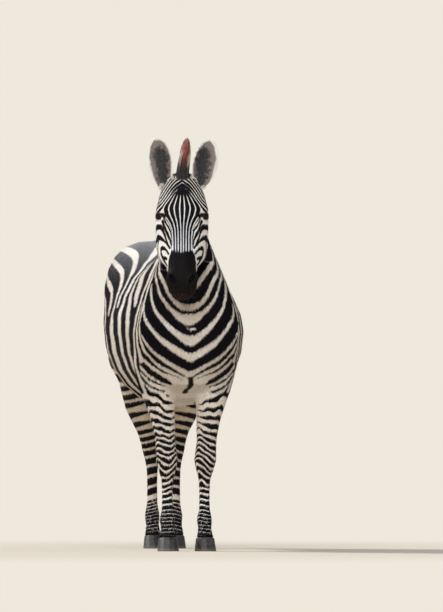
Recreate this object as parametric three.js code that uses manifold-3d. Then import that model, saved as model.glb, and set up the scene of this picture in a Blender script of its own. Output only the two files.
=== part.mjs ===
// A plains zebra standing square and alert, life size, as a still museum figure.
// Millimetres, +Z up. The animal faces -Y, and its left side is +X.
// The body is one smooth form, modelled whole and then parted by thin cuts into the
// regions that a person would name. Ears, mane, tail and eyes are forms of their own.
import * as THREE from 'three';
import { mergeVertices } from 'three/addons/utils/BufferGeometryUtils.js';
import Module from 'manifold-3d';

const wasm = await Module();
wasm.setup();

// ---- driving dimensions -------------------------------------------------------------
const WITHERS = 1276;          // height of the back above the shoulders
const HEAD_LENGTH = 506;       // poll to lips, along the face
const HEAD_TILT = 21;          // degrees between the face and the vertical
const HEAD_TURN = -6;          // degrees, towards the animal's right
const POLL = [-43, -283, 1540];
const EAR_LENGTH = 203;        // from its root inside the head
const EAR_HALF_WIDTH = 56;
const EYE_RADIUS = 22;
const MANE_TOP = 1722;         // tip of the upright hair between the ears
const FORE_SPREAD = 78;        // between the fore hooves, half
const FORE_SHIFT = 4;          // of both fore hooves, to the left of the centre line
const HIND_SPREAD = 49;
const HIND_SHIFT = 19;
const HIND_HOOF_Y = 985;       // the fore hooves stand about y = 0
const GAP = 0.3;               // width of every cut between two nodes

const rad = THREE.MathUtils.degToRad;
const { sin, cos, abs, sign, pow, exp, hypot, min, max, PI } = Math;

// ---- finishes -----------------------------------------------------------------------
const finish = (hex, roughness) => () =>
  new THREE.MeshStandardMaterial({ color: hex, roughness, metalness: 0 });
const coat = finish('#b9ab9c', 0.85);
const darkSkin = finish('#241c1a', 0.7);
const hair = finish('#2b2421', 0.8);
const horn = finish('#3a3634', 0.55);
const eyeball = finish('#1a100c', 0.15);
const earFelt = finish('#8f8178', 0.9);

// ---- solids -------------------------------------------------------------------------
function solid(positions, triangles) {
  const a = new THREE.Vector3();
  const b = new THREE.Vector3();
  const c = new THREE.Vector3();
  let volume = 0;
  for (let i = 0; i < triangles.length; i += 3) {
    a.fromArray(positions, triangles[i] * 3);
    b.fromArray(positions, triangles[i + 1] * 3);
    c.fromArray(positions, triangles[i + 2] * 3);
    volume += a.dot(b.cross(c));
  }
  if (volume < 0) {
    for (let i = 0; i < triangles.length; i += 3) {
      [triangles[i], triangles[i + 1]] = [triangles[i + 1], triangles[i]];
    }
  }
  return new wasm.Manifold(new wasm.Mesh({
    numProp: 3,
    vertProperties: new Float32Array(positions),
    triVerts: new Uint32Array(triangles),
  }));
}

function fromGeometry(geometry) {
  geometry.deleteAttribute('normal');
  geometry.deleteAttribute('uv');
  const merged = mergeVertices(geometry, 1e-3);
  return solid(Array.from(merged.attributes.position.array), Array.from(merged.index.array));
}

// A closed tube through rings of equal count, with a fan over each end.
function loft(rings) {
  const count = rings[0].length;
  const positions = rings.flat().flatMap((point) => point.toArray());
  const triangles = [];
  for (let r = 0; r + 1 < rings.length; r += 1) {
    for (let k = 0; k < count; k += 1) {
      const next = (k + 1) % count;
      const [p, q] = [r * count + k, r * count + next];
      triangles.push(p, q, q + count, p, q + count, p + count);
    }
  }
  const fan = (ring, first, flip) => {
    const centre = new THREE.Vector3();
    ring.forEach((point) => centre.addScaledVector(point, 1 / count));
    const hub = positions.length / 3;
    positions.push(...centre.toArray());
    for (let k = 0; k < count; k += 1) {
      const pair = [first + k, first + (k + 1) % count];
      if (flip) pair.reverse();
      triangles.push(hub, pair[1], pair[0]);
    }
  };
  fan(rings[0], 0, false);
  fan(rings.at(-1), (rings.length - 1) * count, true);
  return solid(positions, triangles);
}

// Smooth values between the rows of a list, `steps` to each gap (Catmull-Rom).
function smoothRows(rows, steps) {
  const out = [];
  const at = (i) => rows[max(0, min(rows.length - 1, i))];
  for (let i = 0; i + 1 < rows.length; i += 1) {
    for (let s = 0; s < steps; s += 1) {
      const t = s / steps;
      out.push(rows[i].map((value, n) => {
        const [a, b, c, d] = [at(i - 1)[n], value, at(i + 1)[n], at(i + 2)[n]];
        return b + 0.5 * t * (c - a + t * (2 * a - 5 * b + 4 * c - d
          + t * (3 * (b - c) + d - a)));
      }));
    }
  }
  out.push(rows.at(-1));
  return out;
}

// One rounded section. It stands on `up` from -below to +above around its widest line,
// and its two powers say how square it is over and under that line (2 is an ellipse).
function outline({ half, above, below, powAbove, powBelow, count, grow = 0 }) {
  const points = [];
  for (let k = 0; k < count; k += 1) {
    const angle = (2 * PI * k) / count;
    const [c, s] = [cos(angle), sin(angle)];
    const power = s >= 0 ? powAbove : powBelow;
    const reach = s >= 0 ? above : below;
    points.push([
      (half + grow) * sign(c) * pow(abs(c), 2 / power),
      (reach + grow) * sign(s) * pow(abs(s), 2 / power),
    ]);
  }
  return points;
}

// ---- trunk and neck -----------------------------------------------------------------
// Rows from buttock to poll: the top line (y, z), the under line (y, z), the half width,
// how far up the widest line lies, the two powers, and the shift to the left.
const TRUNK_SIDES = 24;
const trunkRows = [
  [1110, 1082, 1114, 950, 84, 0.50, 2.2, 2.0, 0],
  [1090, 1150, 1104, 872, 146, 0.50, 2.3, 2.0, 0],
  [1042, 1212, 1066, 795, 192, 0.50, 2.5, 2.0, 0],
  [960, 1268, 985, 720, 228, 0.48, 2.8, 2.1, 0],
  [850, WITHERS + 37, 870, 668, 256, 0.48, 3.2, 2.1, 0],
  [740, WITHERS + 38, 760, 636, 268, 0.49, 2.5, 2.1, 0],
  [600, WITHERS + 16, 620, 612, 282, 0.50, 1.8, 2.1, 0],
  [460, WITHERS - 10, 460, 600, 290, 0.50, 1.65, 2.1, 0],
  [310, WITHERS - 22, 300, 600, 284, 0.49, 1.65, 2.1, 0],
  [170, WITHERS - 10, 140, 612, 256, 0.46, 1.7, 2.2, 0],
  [80, WITHERS + 6, -10, 630, 230, 0.43, 1.65, 2.2, 0],
  [18, WITHERS + 26, -138, 686, 219, 0.36, 1.55, 2.2, 0],
  [-36, 1356, -218, 790, 207, 0.28, 1.45, 2.2, 0],
  [-84, 1413, -254, 900, 166, 0.27, 1.4, 2.2, -4],
  [-128, 1462, -258, 1005, 126, 0.26, 1.4, 2.2, -9],
  [-170, 1503, -240, 1103, 103, 0.28, 1.5, 2.2, -16],
  [-208, 1530, -207, 1190, 93, 0.34, 1.6, 2.1, -26],
  [-238, 1542, -172, 1262, 86, 0.42, 1.8, 2.0, -36],
  [-260, 1544, -186, 1318, 72, 0.50, 2.0, 2.0, -41],
];

function trunkAndNeck(grow = 0) {
  const rings = trunkRows.map((row) => {
    const [topY, topZ, underY, underZ, half, widest, powAbove, powBelow, shift] = row;
    const up = new THREE.Vector2(topY - underY, topZ - underZ);
    const tall = up.length();
    up.normalize();
    const shape = { half, powAbove, powBelow, grow, count: TRUNK_SIDES };
    shape.above = tall * (1 - widest);
    shape.below = tall * widest;
    return outline(shape).map(([x, v]) => new THREE.Vector3(
      x + shift,
      underY + up.x * (shape.below + v),
      underZ + up.y * (shape.below + v),
    ));
  });
  return loft(rings);
}

// ---- head ---------------------------------------------------------------------------
// The head has its own directions: `along` runs down the face from the poll, `out` is
// square to the face, and `side` is to the animal's left.
const headFrame = new THREE.Matrix4().multiplyMatrices(
  new THREE.Matrix4().makeTranslation(...POLL),
  new THREE.Matrix4().multiplyMatrices(
    new THREE.Matrix4().makeRotationZ(rad(HEAD_TURN)),
    new THREE.Matrix4().makeRotationX(-rad(HEAD_TILT)),
  ),
);

const onHead = (side, along, out) =>
  new THREE.Vector3(side, -out, -along).applyMatrix4(headFrame);

// Rows from poll to lips: along, the face line, the jaw line, the half width, how far
// out the widest line lies, and the powers towards the face and towards the jaw.
const HEAD_SIDES = 24;
const headRows = [
  [-36, -26, -70, 26, 0.50, 2.0, 2.0],
  [-22, -8, -86, 54, 0.52, 2.0, 2.0],
  [0, 9, -100, 72, 0.55, 2.1, 2.0],
  [30, 22, -138, 87, 0.58, 2.2, 2.0],
  [62, 31, -168, 98, 0.60, 2.2, 2.1],
  [100, 37, -190, 106, 0.62, 2.2, 2.2],
  [140, 38, -203, 109, 0.63, 2.2, 2.2],
  [180, 35, -212, 109, 0.58, 2.1, 2.2],
  [220, 31, -213, 107, 0.48, 1.9, 2.3],
  [255, 27, -205, 104, 0.40, 1.8, 2.4],
  [283, 24, -192, 101, 0.36, 1.8, 2.4],
  [308, 21, -174, 97, 0.38, 1.8, 2.4],
  [336, 18, -155, 83, 0.44, 1.9, 2.3],
  [368, 14, -139, 67, 0.54, 2.1, 2.2],
  [402, 9, -128, 60, 0.61, 2.3, 2.2],
  [434, 2, -121, 60, 0.62, 2.4, 2.2],
  [461, -8, -118, 58, 0.60, 2.3, 2.2],
  [484, -22, -110, 49, 0.56, 2.2, 2.1],
  [499, -38, -98, 34, 0.52, 2.0, 2.0],
  [HEAD_LENGTH, -56, -82, 15, 0.50, 2.0, 2.0],
];

// Rounded swellings (and hollows, with a negative height) on both sides of the head:
// where they lie (side, along, out), how wide they are in those directions, and height.
const headSwellings = [
  { at: [96, 132, -8], wide: [26, 26, 20], height: 9 },      // brow over the eye
  { at: [84, 78, -6], wide: [24, 28, 24], height: -5 },      // hollow over the brow
  { at: [96, 186, -52], wide: [30, 24, 18], height: 5 },     // cheek bone
  { at: [84, 250, -58], wide: [30, 46, 12], height: 6 },     // ridge below the cheek bone
  { at: [98, 230, -140], wide: [40, 50, 50], height: 6 },    // chewing muscle
  { at: [60, 318, -40], wide: [26, 44, 26], height: -5 },    // hollow beside the nose
  { at: [58, 428, -20], wide: [26, 24, 22], height: 13 },    // nostril wing
  { at: [44, 470, -40], wide: [40, 18, 24], height: 5 },     // upper lip
  { at: [60, 412, -84], wide: [30, 34, 12], height: -4 },    // corner of the mouth
  { at: [0, 474, -118], wide: [36, 20, 24], height: 6 },     // chin
  { at: [0, 422, -124], wide: [30, 22, 20], height: -4 },    // hollow behind the chin
  { at: [46, 438, -4], wide: [10, 13, 12], height: -9 },     // nostril opening
];

function headForm(grow = 0) {
  const rings = smoothRows(headRows, 2).map((row, n, all) => {
    const [place, face, jaw, half, widest, powAbove, powBelow] = row;
    const along = place + (n === 0 ? -grow : 0) + (n === all.length - 1 ? grow : 0);
    const shape = { half, powAbove, powBelow, grow, count: HEAD_SIDES };
    shape.above = (face - jaw) * (1 - widest);
    shape.below = (face - jaw) * widest;
    const middle = jaw + shape.below;
    return outline(shape).map(([x, v]) => {
      const out = middle + v;
      let lift = 0;
      for (const { at, wide, height } of headSwellings) {
        const d = hypot((abs(x) - at[0]) / wide[0], (along - at[1]) / wide[1],
          (out - at[2]) / wide[2]);
        lift += height * exp(-d * d);
      }
      const reach = hypot(x, v) || 1;
      return onHead(x * (1 + lift / reach), along, middle + v * (1 + lift / reach));
    });
  });
  return loft(rings);
}

const eyeCentre = (side) => onHead(side * 86, 156, -28);

function eyeForm(side, grow = 0) {
  const ball = new THREE.SphereGeometry(EYE_RADIUS + grow, 10, 8);
  const centre = eyeCentre(side);
  return fromGeometry(ball.translate(centre.x, centre.y, centre.z));
}

// ---- ears ---------------------------------------------------------------------------
// A cupped leaf: `rise` runs 0 to 1 up the ear, and the cup closes towards its root.
const EAR_STEPS = 8;
const EAR_ACROSS = 7;
const EAR_WALL = 7;
const EAR_WIDEST = 0.45;

function earForm(side) {
  const spread = side > 0 ? [66, 121] : [72, 107];
  const root = onHead(side * spread[0], 12, -40);
  const tip = onHead(side * spread[1], -160, 14);
  const rise = tip.clone().sub(root).normalize();
  const facing = new THREE.Vector3(side * 0.30, -1, 0.10).applyAxisAngle(
    new THREE.Vector3(0, 0, 1), rad(HEAD_TURN));
  facing.addScaledVector(rise, -facing.dot(rise)).normalize();
  const across = new THREE.Vector3().crossVectors(rise, facing).normalize();
  const rings = [];
  for (let i = 0; i <= EAR_STEPS; i += 1) {
    const t = i / EAR_STEPS;
    const breadth = EAR_HALF_WIDTH * (t < EAR_WIDEST
      ? 0.5 + 0.5 * sin((PI / 2) * (t / EAR_WIDEST))
      : pow(1 - pow((t - EAR_WIDEST) / (1.01 - EAR_WIDEST), 2.4), 0.5));
    const curl = rad(112 - 62 * t);
    const wall = EAR_WALL * (1 - 0.45 * t);
    const lean = 10 * sin(PI * t);
    const place = root.clone().addScaledVector(rise, t * EAR_LENGTH);
    place.addScaledVector(facing, lean);
    const leaf = (k, depth) => {
      const swing = k * curl;
      const scale = breadth / max(sin(min(curl, PI / 2)), 0.5);
      return place.clone()
        .addScaledVector(across, scale * sin(swing))
        .addScaledVector(facing, scale * (1 - cos(swing)) * 0.75 + depth - breadth * 0.5);
    };
    const ring = [];
    for (let j = 0; j <= EAR_ACROSS; j += 1) {
      ring.push(leaf(-1 + (2 * j) / EAR_ACROSS, 0));
    }
    for (let j = EAR_ACROSS - 1; j > 0; j -= 1) {
      const k = -1 + (2 * j) / EAR_ACROSS;
      ring.push(leaf(k * 0.94, wall * (1 - 0.6 * k * k)));
    }
    rings.push(ring);
  }
  return loft(rings);
}

// ---- mane ---------------------------------------------------------------------------
// Upright hair along the crest: the root's (x, y, z), the tip's (x, y, z), and the half
// thickness at the root and at the tip.
const maneRows = [
  [0, 80, WITHERS - 14, 0, 90, WITHERS + 16, 8, 4],
  [0, 26, WITHERS + 6, 0, 52, WITHERS + 76, 15, 7],
  [-1, -34, 1326, -1, 6, 1432, 19, 9],
  [-4, -84, 1384, -4, -36, 1503, 21, 10],
  [-9, -130, 1434, -9, -78, 1566, 22, 10],
  [-17, -174, 1476, -18, -122, 1622, 23, 10],
  [-27, -212, 1504, -23, -168, 1666, 24, 10],
  [-35, -243, 1518, -25, -212, 1698, 25, 10],
  [-41, -266, 1526, -21, -248, 1716, 25, 8],
  [-43, -290, 1518, -17, -278, MANE_TOP, 23, 6],
  [-43, -306, 1502, -22, -300, 1708, 18, 5],
  [-43, -316, 1484, -32, -318, 1656, 12, 4],
];

function maneForm() {
  const levels = [0, 0.5, 0.88];
  const swell = [1, 0.9, 0.6];
  const rings = maneRows.map((row) => {
    const root = new THREE.Vector3(row[0], row[1], row[2]);
    const tip = new THREE.Vector3(row[3], row[4], row[5]);
    const edge = (side) => levels.map((level, n) => {
      const thick = row[7] + (row[6] - row[7]) * swell[n];
      return root.clone().lerp(tip, level).add(new THREE.Vector3(side * thick, 0, 0));
    });
    return [...edge(1), tip, ...edge(-1).reverse()];
  });
  return loft(rings);
}

// ---- tail ---------------------------------------------------------------------------
const tailPath = new THREE.CatmullRomCurve3([
  new THREE.Vector3(0, 1040, 1184),
  new THREE.Vector3(0, 1098, 1168),
  new THREE.Vector3(0, 1134, 1105),
  new THREE.Vector3(0, 1146, 1000),
  new THREE.Vector3(0, 1148, 860),
  new THREE.Vector3(0, 1146, 740),
  new THREE.Vector3(0, 1140, 610),
  new THREE.Vector3(0, 1132, 492),
]);
const TAIL_SIDES = 9;
const TAIL_STEPS = 14;
const tailRadii = [34, 34, 29, 24, 22, 20, 19, 20, 27, 34, 38, 38, 34, 25, 8];

function tailForm() {
  const rings = [];
  for (let i = 0; i <= TAIL_STEPS; i += 1) {
    const t = i / TAIL_STEPS;
    const centre = tailPath.getPoint(t);
    const lead = tailPath.getTangent(t);
    const back = new THREE.Vector3().crossVectors(new THREE.Vector3(1, 0, 0), lead);
    const place = t * (tailRadii.length - 1);
    const n = min(Math.floor(place), tailRadii.length - 2);
    const radius = THREE.MathUtils.lerp(tailRadii[n], tailRadii[n + 1], place - n);
    const ring = [];
    for (let k = 0; k < TAIL_SIDES; k += 1) {
      const angle = (2 * PI * k) / TAIL_SIDES;
      ring.push(centre.clone()
        .addScaledVector(back, radius * 0.85 * sin(angle))
        .add(new THREE.Vector3(radius * cos(angle), 0, 0)));
    }
    rings.push(ring);
  }
  return loft(rings);
}

// ---- legs ---------------------------------------------------------------------------
// Rows from the body down to the sole: height, distance from the centre line, y, half
// width across, half depth fore and aft, and the power of the section.
const LEG_SIDES = 12;
const foreRows = [
  [950, 96, -20, 70, 120, 2.0],
  [855, 128, -24, 92, 132, 2.1],
  [775, 130, -14, 90, 124, 2.1],
  [705, 121, 0, 80, 106, 2.1],
  [640, 110, 4, 72, 86, 2.1],
  [588, 102, 2, 61, 70, 2.1],
  [546, 95, 0, 52, 60, 2.1],
  [500, 90, 0, 47, 53, 2.1],
  [460, 87, 0, 43, 48, 2.2],
  [420, 83, -2, 45, 45, 2.3],
  [379, 80, -4, 48, 45, 2.4],
  [338, 79, 0, 38, 40, 2.3],
  [298, FORE_SPREAD, 4, 26, 32, 2.2],
  [235, FORE_SPREAD, 5, 23, 29, 2.2],
  [175, FORE_SPREAD, 5, 24, 30, 2.2],
  [133, FORE_SPREAD, 6, 33, 37, 2.3],
  [95, FORE_SPREAD, -6, 29, 31, 2.2],
  [68, FORE_SPREAD, -16, 34, 36, 2.1],
  [52, FORE_SPREAD, -21, 39, 42, 2.1],
  [0, FORE_SPREAD, -34, 46, 54, 2.1],
];
const hindRows = [
  [1040, 100, 925, 60, 90, 2.0],
  [950, 128, 930, 90, 138, 2.1],
  [860, 138, 930, 100, 158, 2.1],
  [780, 127, 926, 92, 152, 2.1],
  [710, 111, 930, 76, 128, 2.1],
  [645, 106, 945, 68, 100, 2.1],
  [594, 104, 965, 58, 80, 2.1],
  [540, 88, 992, 48, 64, 2.1],
  [500, 73, 1024, 40, 61, 2.1],
  [455, 60, 1032, 39, 47, 2.2],
  [415, 53, 1029, 38, 42, 2.3],
  [375, 50, 1024, 30, 35, 2.3],
  [335, HIND_SPREAD, 1021, 25, 29, 2.2],
  [270, HIND_SPREAD, 1020, 23, 28, 2.2],
  [190, HIND_SPREAD, 1019, 24, 30, 2.2],
  [142, HIND_SPREAD, 1020, 33, 37, 2.3],
  [100, HIND_SPREAD, HIND_HOOF_Y + 21, 29, 31, 2.2],
  [70, HIND_SPREAD, HIND_HOOF_Y + 9, 33, 36, 2.1],
  [52, HIND_SPREAD, HIND_HOOF_Y + 3, 37, 41, 2.1],
  [0, HIND_SPREAD, HIND_HOOF_Y - 10, 43, 52, 2.1],
];

// Each leg leans by `shift` between the body and the height where its leaning ends.
const LEAN_TOP = 800;
const LEAN_FOOT = 400;

function legForm(rows, side, shift, grow = 0) {
  const rings = rows.map((row) => {
    const [z, spread, y, half, deep, power] = row;
    const lean = 1 - THREE.MathUtils.smoothstep(z, LEAN_FOOT, LEAN_TOP);
    const shape = { half, above: deep, below: deep, grow, count: LEG_SIDES };
    shape.powAbove = power;
    shape.powBelow = power;
    return outline(shape).map(([x, v]) =>
      new THREE.Vector3(side * spread + shift * lean + x, y + v, z));
  });
  return loft(rings);
}

// ---- cutting the body into its nodes ------------------------------------------------
// A block is a big box, placed by the middle of its upper face and turned about it. It
// is a function, because a cut takes it once as it is and once grown by the gap.
const BIG = 2400;

const block = (at, turn = [0, 0, 0], size = [BIG, BIG, BIG]) => (grow) => {
  const box = new THREE.BoxGeometry(size[0] + 2 * grow, size[1] + 2 * grow,
    size[2] + 2 * grow);
  box.translate(0, 0, -size[2] / 2);
  box.applyMatrix4(new THREE.Matrix4().makeRotationFromEuler(
    new THREE.Euler(...turn.map(rad), 'ZXY')));
  box.translate(...at);
  return fromGeometry(box);
};

const group = new THREE.Group();

function addNode(name, form, material) {
  const mesh = form.getMesh();
  const geometry = new THREE.BufferGeometry();
  geometry.setAttribute('position', new THREE.BufferAttribute(mesh.vertProperties, 3));
  geometry.setIndex(new THREE.BufferAttribute(mesh.triVerts, 1));
  geometry.computeVertexNormals();
  const node = new THREE.Mesh(geometry, material());
  node.name = name;
  group.add(node);
}

const SIDES = { left: 1, right: -1 };

function trunkWithLegs(grow) {
  let body = trunkAndNeck(grow);
  for (const side of Object.values(SIDES)) {
    body = body.add(legForm(foreRows, side, FORE_SHIFT, grow))
      .add(legForm(hindRows, side, HIND_SHIFT, grow));
  }
  return body;
}

let rest = trunkWithLegs(0);
let face = headForm(0);
const covered = trunkWithLegs(GAP).add(headForm(GAP));
for (const side of Object.values(SIDES)) {
  face = face.subtract(eyeForm(side, GAP));
}
rest = rest.subtract(headForm(GAP));

// Takes what lies in all the given shapes away from a form, as a node, and gives what
// is left of it.
function cutOff(form, name, material, ...shapes) {
  const shared = (grow) => shapes.map((shape) => shape(grow))
    .reduce((one, other) => one.intersect(other));
  addNode(name, form.intersect(shared(0)), material);
  return form.subtract(shared(GAP));
}

// The muzzle ends square to the face, and the jaw lies under a slanted cut.
face = cutOff(face, 'muzzle', darkSkin,
  block(onHead(0, 364, 0).toArray(), [-HEAD_TILT, 0, HEAD_TURN]));
face = cutOff(face, 'jaw', coat,
  block(onHead(0, 372, -92).toArray(), [78 - HEAD_TILT, 0, HEAD_TURN], [400, 400, 300]));
addNode('head', face, coat);

// Hooves, lower legs and upper legs, from the ground up: where the leg stands fore and
// aft, the height of its joint, and the height at the centre line of the upper cut, which
// slants up and outwards into the body.
const COLUMN = [480, 500, BIG];
const legCuts = [
  { which: 'fore', upper: 'forearm', y: 0, joint: 396, top: 600, rows: foreRows,
    shift: FORE_SHIFT },
  { which: 'hind', upper: 'thigh', y: 1000, joint: 436, top: 640, rows: hindRows,
    shift: HIND_SHIFT },
];
for (const [name, side] of Object.entries(SIDES)) {
  for (const { which, upper, y, joint, top, rows, shift } of legCuts) {
    const x = shift + side * (COLUMN[0] / 2 + GAP);
    const column = (z, tilt = 0) => block([x, y, z], [tilt, 0, 0], COLUMN);
    rest = cutOff(rest, `hoof_${which}_${name}`, horn, column(52, -7));
    rest = cutOff(rest, `cannon_${which}_${name}`, coat, column(joint));
    rest = cutOff(rest, `${upper}_${name}`, coat, column(BIG / 2),
      block([0, y, top], [0, -side * 42, 0]), (grow) => legForm(rows, side, shift, grow));
  }
}
rest = cutOff(rest, 'neck', coat, block([0, -130, 1075], [-125, 0, 0]));
rest = cutOff(rest, 'shoulders', coat, block([0, 190, 900], [-90, 0, 0]));
rest = cutOff(rest, 'barrel', coat, block([0, 700, 900], [-90, 0, 0]));
addNode('rump', rest, coat);

// ---- forms of their own -------------------------------------------------------------
for (const [name, side] of Object.entries(SIDES)) {
  addNode(`eye_${name}`, eyeForm(side), eyeball);
  addNode(`ear_${name}`, earForm(side).subtract(covered), earFelt);
}
addNode('mane', maneForm().subtract(covered), hair);
const tail = tailForm().subtract(covered);
const tuftBlock = block([0, 1140, 800]);
addNode('tail_tuft', tail.intersect(tuftBlock(0)), hair);
addNode('tail', tail.subtract(tuftBlock(GAP)), coat);

// The origin goes to the middle of the footprint, on the floor.
const box = new THREE.Box3().setFromObject(group);
const centre = box.getCenter(new THREE.Vector3());
group.position.set(-centre.x, -centre.y, -box.min.z);

export default group;
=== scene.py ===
"""A plains zebra, life size, standing square and alert: the looks around its solids.

The flesh is one skin, grown from the solid pieces. Its stripes are fields worked out at
each point of the body, and the tufts of the coat carry what the skin says at their roots.
Metres throughout, in the frame of the solids: +Z up, the animal faces -Y, its left is +X.
"""
import math
from functools import partial

import bmesh
import bpy
import numpy as np
from mathutils import Matrix, Vector
from mathutils.bvhtree import BVHTree


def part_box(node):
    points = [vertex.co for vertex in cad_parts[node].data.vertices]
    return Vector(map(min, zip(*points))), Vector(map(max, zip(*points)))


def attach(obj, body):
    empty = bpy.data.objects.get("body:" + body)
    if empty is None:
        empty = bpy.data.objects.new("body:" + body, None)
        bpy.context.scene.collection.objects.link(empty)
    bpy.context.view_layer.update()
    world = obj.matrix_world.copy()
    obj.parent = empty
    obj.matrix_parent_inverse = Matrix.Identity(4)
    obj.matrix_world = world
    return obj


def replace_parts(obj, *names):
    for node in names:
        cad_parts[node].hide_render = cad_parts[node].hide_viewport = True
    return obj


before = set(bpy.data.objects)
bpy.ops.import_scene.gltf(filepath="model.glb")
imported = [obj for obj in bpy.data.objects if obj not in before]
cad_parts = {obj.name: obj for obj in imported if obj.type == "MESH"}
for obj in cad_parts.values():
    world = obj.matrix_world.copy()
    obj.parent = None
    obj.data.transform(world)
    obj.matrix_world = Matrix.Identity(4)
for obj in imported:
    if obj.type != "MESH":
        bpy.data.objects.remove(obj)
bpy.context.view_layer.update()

MM = 0.001
SEED = 7


# ---- small helpers ------------------------------------------------------------------
def linear(code):
    """An sRGB hex colour as linear RGBA."""
    parts = [int(code[i:i + 2], 16) / 255 for i in (1, 3, 5)]
    return [p / 12.92 if p <= 0.04045 else ((p + 0.055) / 1.055) ** 2.4 for p in parts] + [1.0]


def smoothstep(low, high, value):
    t = np.clip((value - low) / (high - low), 0, 1)
    return t * t * (3 - 2 * t)


def piece(name, mesh):
    """A finished piece on the animal's one body."""
    obj = bpy.data.objects.new(name, mesh)
    bpy.context.scene.collection.objects.link(obj)
    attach(obj, "root")
    return obj


def mesh_from(bm, name):
    mesh = bpy.data.meshes.new(name)
    bm.to_mesh(mesh)
    bm.free()
    return mesh


def points_of(mesh):
    co = np.empty(len(mesh.vertices) * 3, np.float32)
    mesh.vertices.foreach_get("co", co)
    return co.reshape(-1, 3).astype(float)


def normals_of(mesh):
    co = np.empty(len(mesh.vertices) * 3, np.float32)
    mesh.vertex_normals.foreach_get("vector", co)
    return co.reshape(-1, 3).astype(float)


def set_points(mesh, points):
    mesh.vertices.foreach_set("co", points.astype(np.float32).ravel())
    mesh.update()


def edges_of(mesh):
    pairs = np.empty(len(mesh.edges) * 2, np.int32)
    mesh.edges.foreach_get("vertices", pairs)
    return pairs.reshape(-1, 2)


def triangles_of(mesh):
    mesh.calc_loop_triangles()
    corners = np.empty(len(mesh.loop_triangles) * 3, np.int32)
    mesh.loop_triangles.foreach_get("vertices", corners)
    return corners.reshape(-1, 3)


# ---- where things are, from the solids ----------------------------------------------
def corners_of(solid):
    return [np.array(corner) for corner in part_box(solid)]


def middle(solid):
    low, high = corners_of(solid)
    return (low + high) / 2


FORE_LINE = middle("cannon_fore_left")[1]      # y of the forelegs
EYE = {+1: middle("eye_left"), -1: middle("eye_right")}
EYE_RADIUS = (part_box("eye_left")[1][0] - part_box("eye_left")[0][0]) / 2

# The head's own directions: `side` to its left, `out` square to the face, `down` along
# the face from the poll to the lips.
HEAD_TILT = math.radians(21)
across = EYE[+1] - EYE[-1]
HEAD_SIDE = across / np.linalg.norm(across)
HEAD_FRONT = np.cross(HEAD_SIDE, [0, 0, 1])
HEAD_FRONT = HEAD_FRONT * np.sign(-HEAD_FRONT[1])
HEAD_OUT = HEAD_FRONT * math.cos(HEAD_TILT) + np.array([0, 0, math.sin(HEAD_TILT)])
HEAD_DOWN = HEAD_FRONT * math.sin(HEAD_TILT) - np.array([0, 0, math.cos(HEAD_TILT)])
EYE_DOWN, EYE_OUT = 156 * MM, -28 * MM         # the eyes' places in the head's directions
POLL = (EYE[+1] + EYE[-1]) / 2 - EYE_DOWN * HEAD_DOWN - EYE_OUT * HEAD_OUT


def in_head(points):
    """Points in the head's directions: side, down, out."""
    local = points - POLL
    return local @ HEAD_SIDE, local @ HEAD_DOWN, local @ HEAD_OUT


def in_body(points):
    """Points as x, distance behind the forelegs, and height."""
    return points[:, 0], points[:, 1] - FORE_LINE, points[:, 2]


def head_edge(down):
    """How far out the back of the head lies, where the neck begins."""
    return np.interp(down, [0, 0.2, 0.28, 0.33], [-0.14, -0.19, -0.185, -0.170])


# ---- materials ----------------------------------------------------------------------
# In a Mix node of colours, inputs 6 and 7 are the two colours and output 2 is the mix.
def node(tree, kind, inputs=(), **settings):
    """Adds a shader node with its settings, and with links or values for its inputs, which
    are a list in the node's own order or go by name. Gives back the node's outputs."""
    made = tree.nodes.new("ShaderNode" + kind)
    for key, value in settings.items():
        setattr(made, key, value)
    for key, value in inputs.items() if isinstance(inputs, dict) else enumerate(inputs):
        if isinstance(value, bpy.types.NodeSocket):
            tree.links.new(value, made.inputs[key])
        else:
            made.inputs[key].default_value = value
    return made.outputs


def new_material(name):
    """An empty material, what adds a node to it, and the place of each point."""
    material = bpy.data.materials.new(name)
    material.use_nodes = True
    material.node_tree.nodes.clear()
    add = partial(node, material.node_tree)
    return material, add, add("TexCoord")["Object"]


def per_metre(millimetres):
    """The scale of a noise whose features are about this many millimetres across."""
    return 1000 / millimetres


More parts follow.
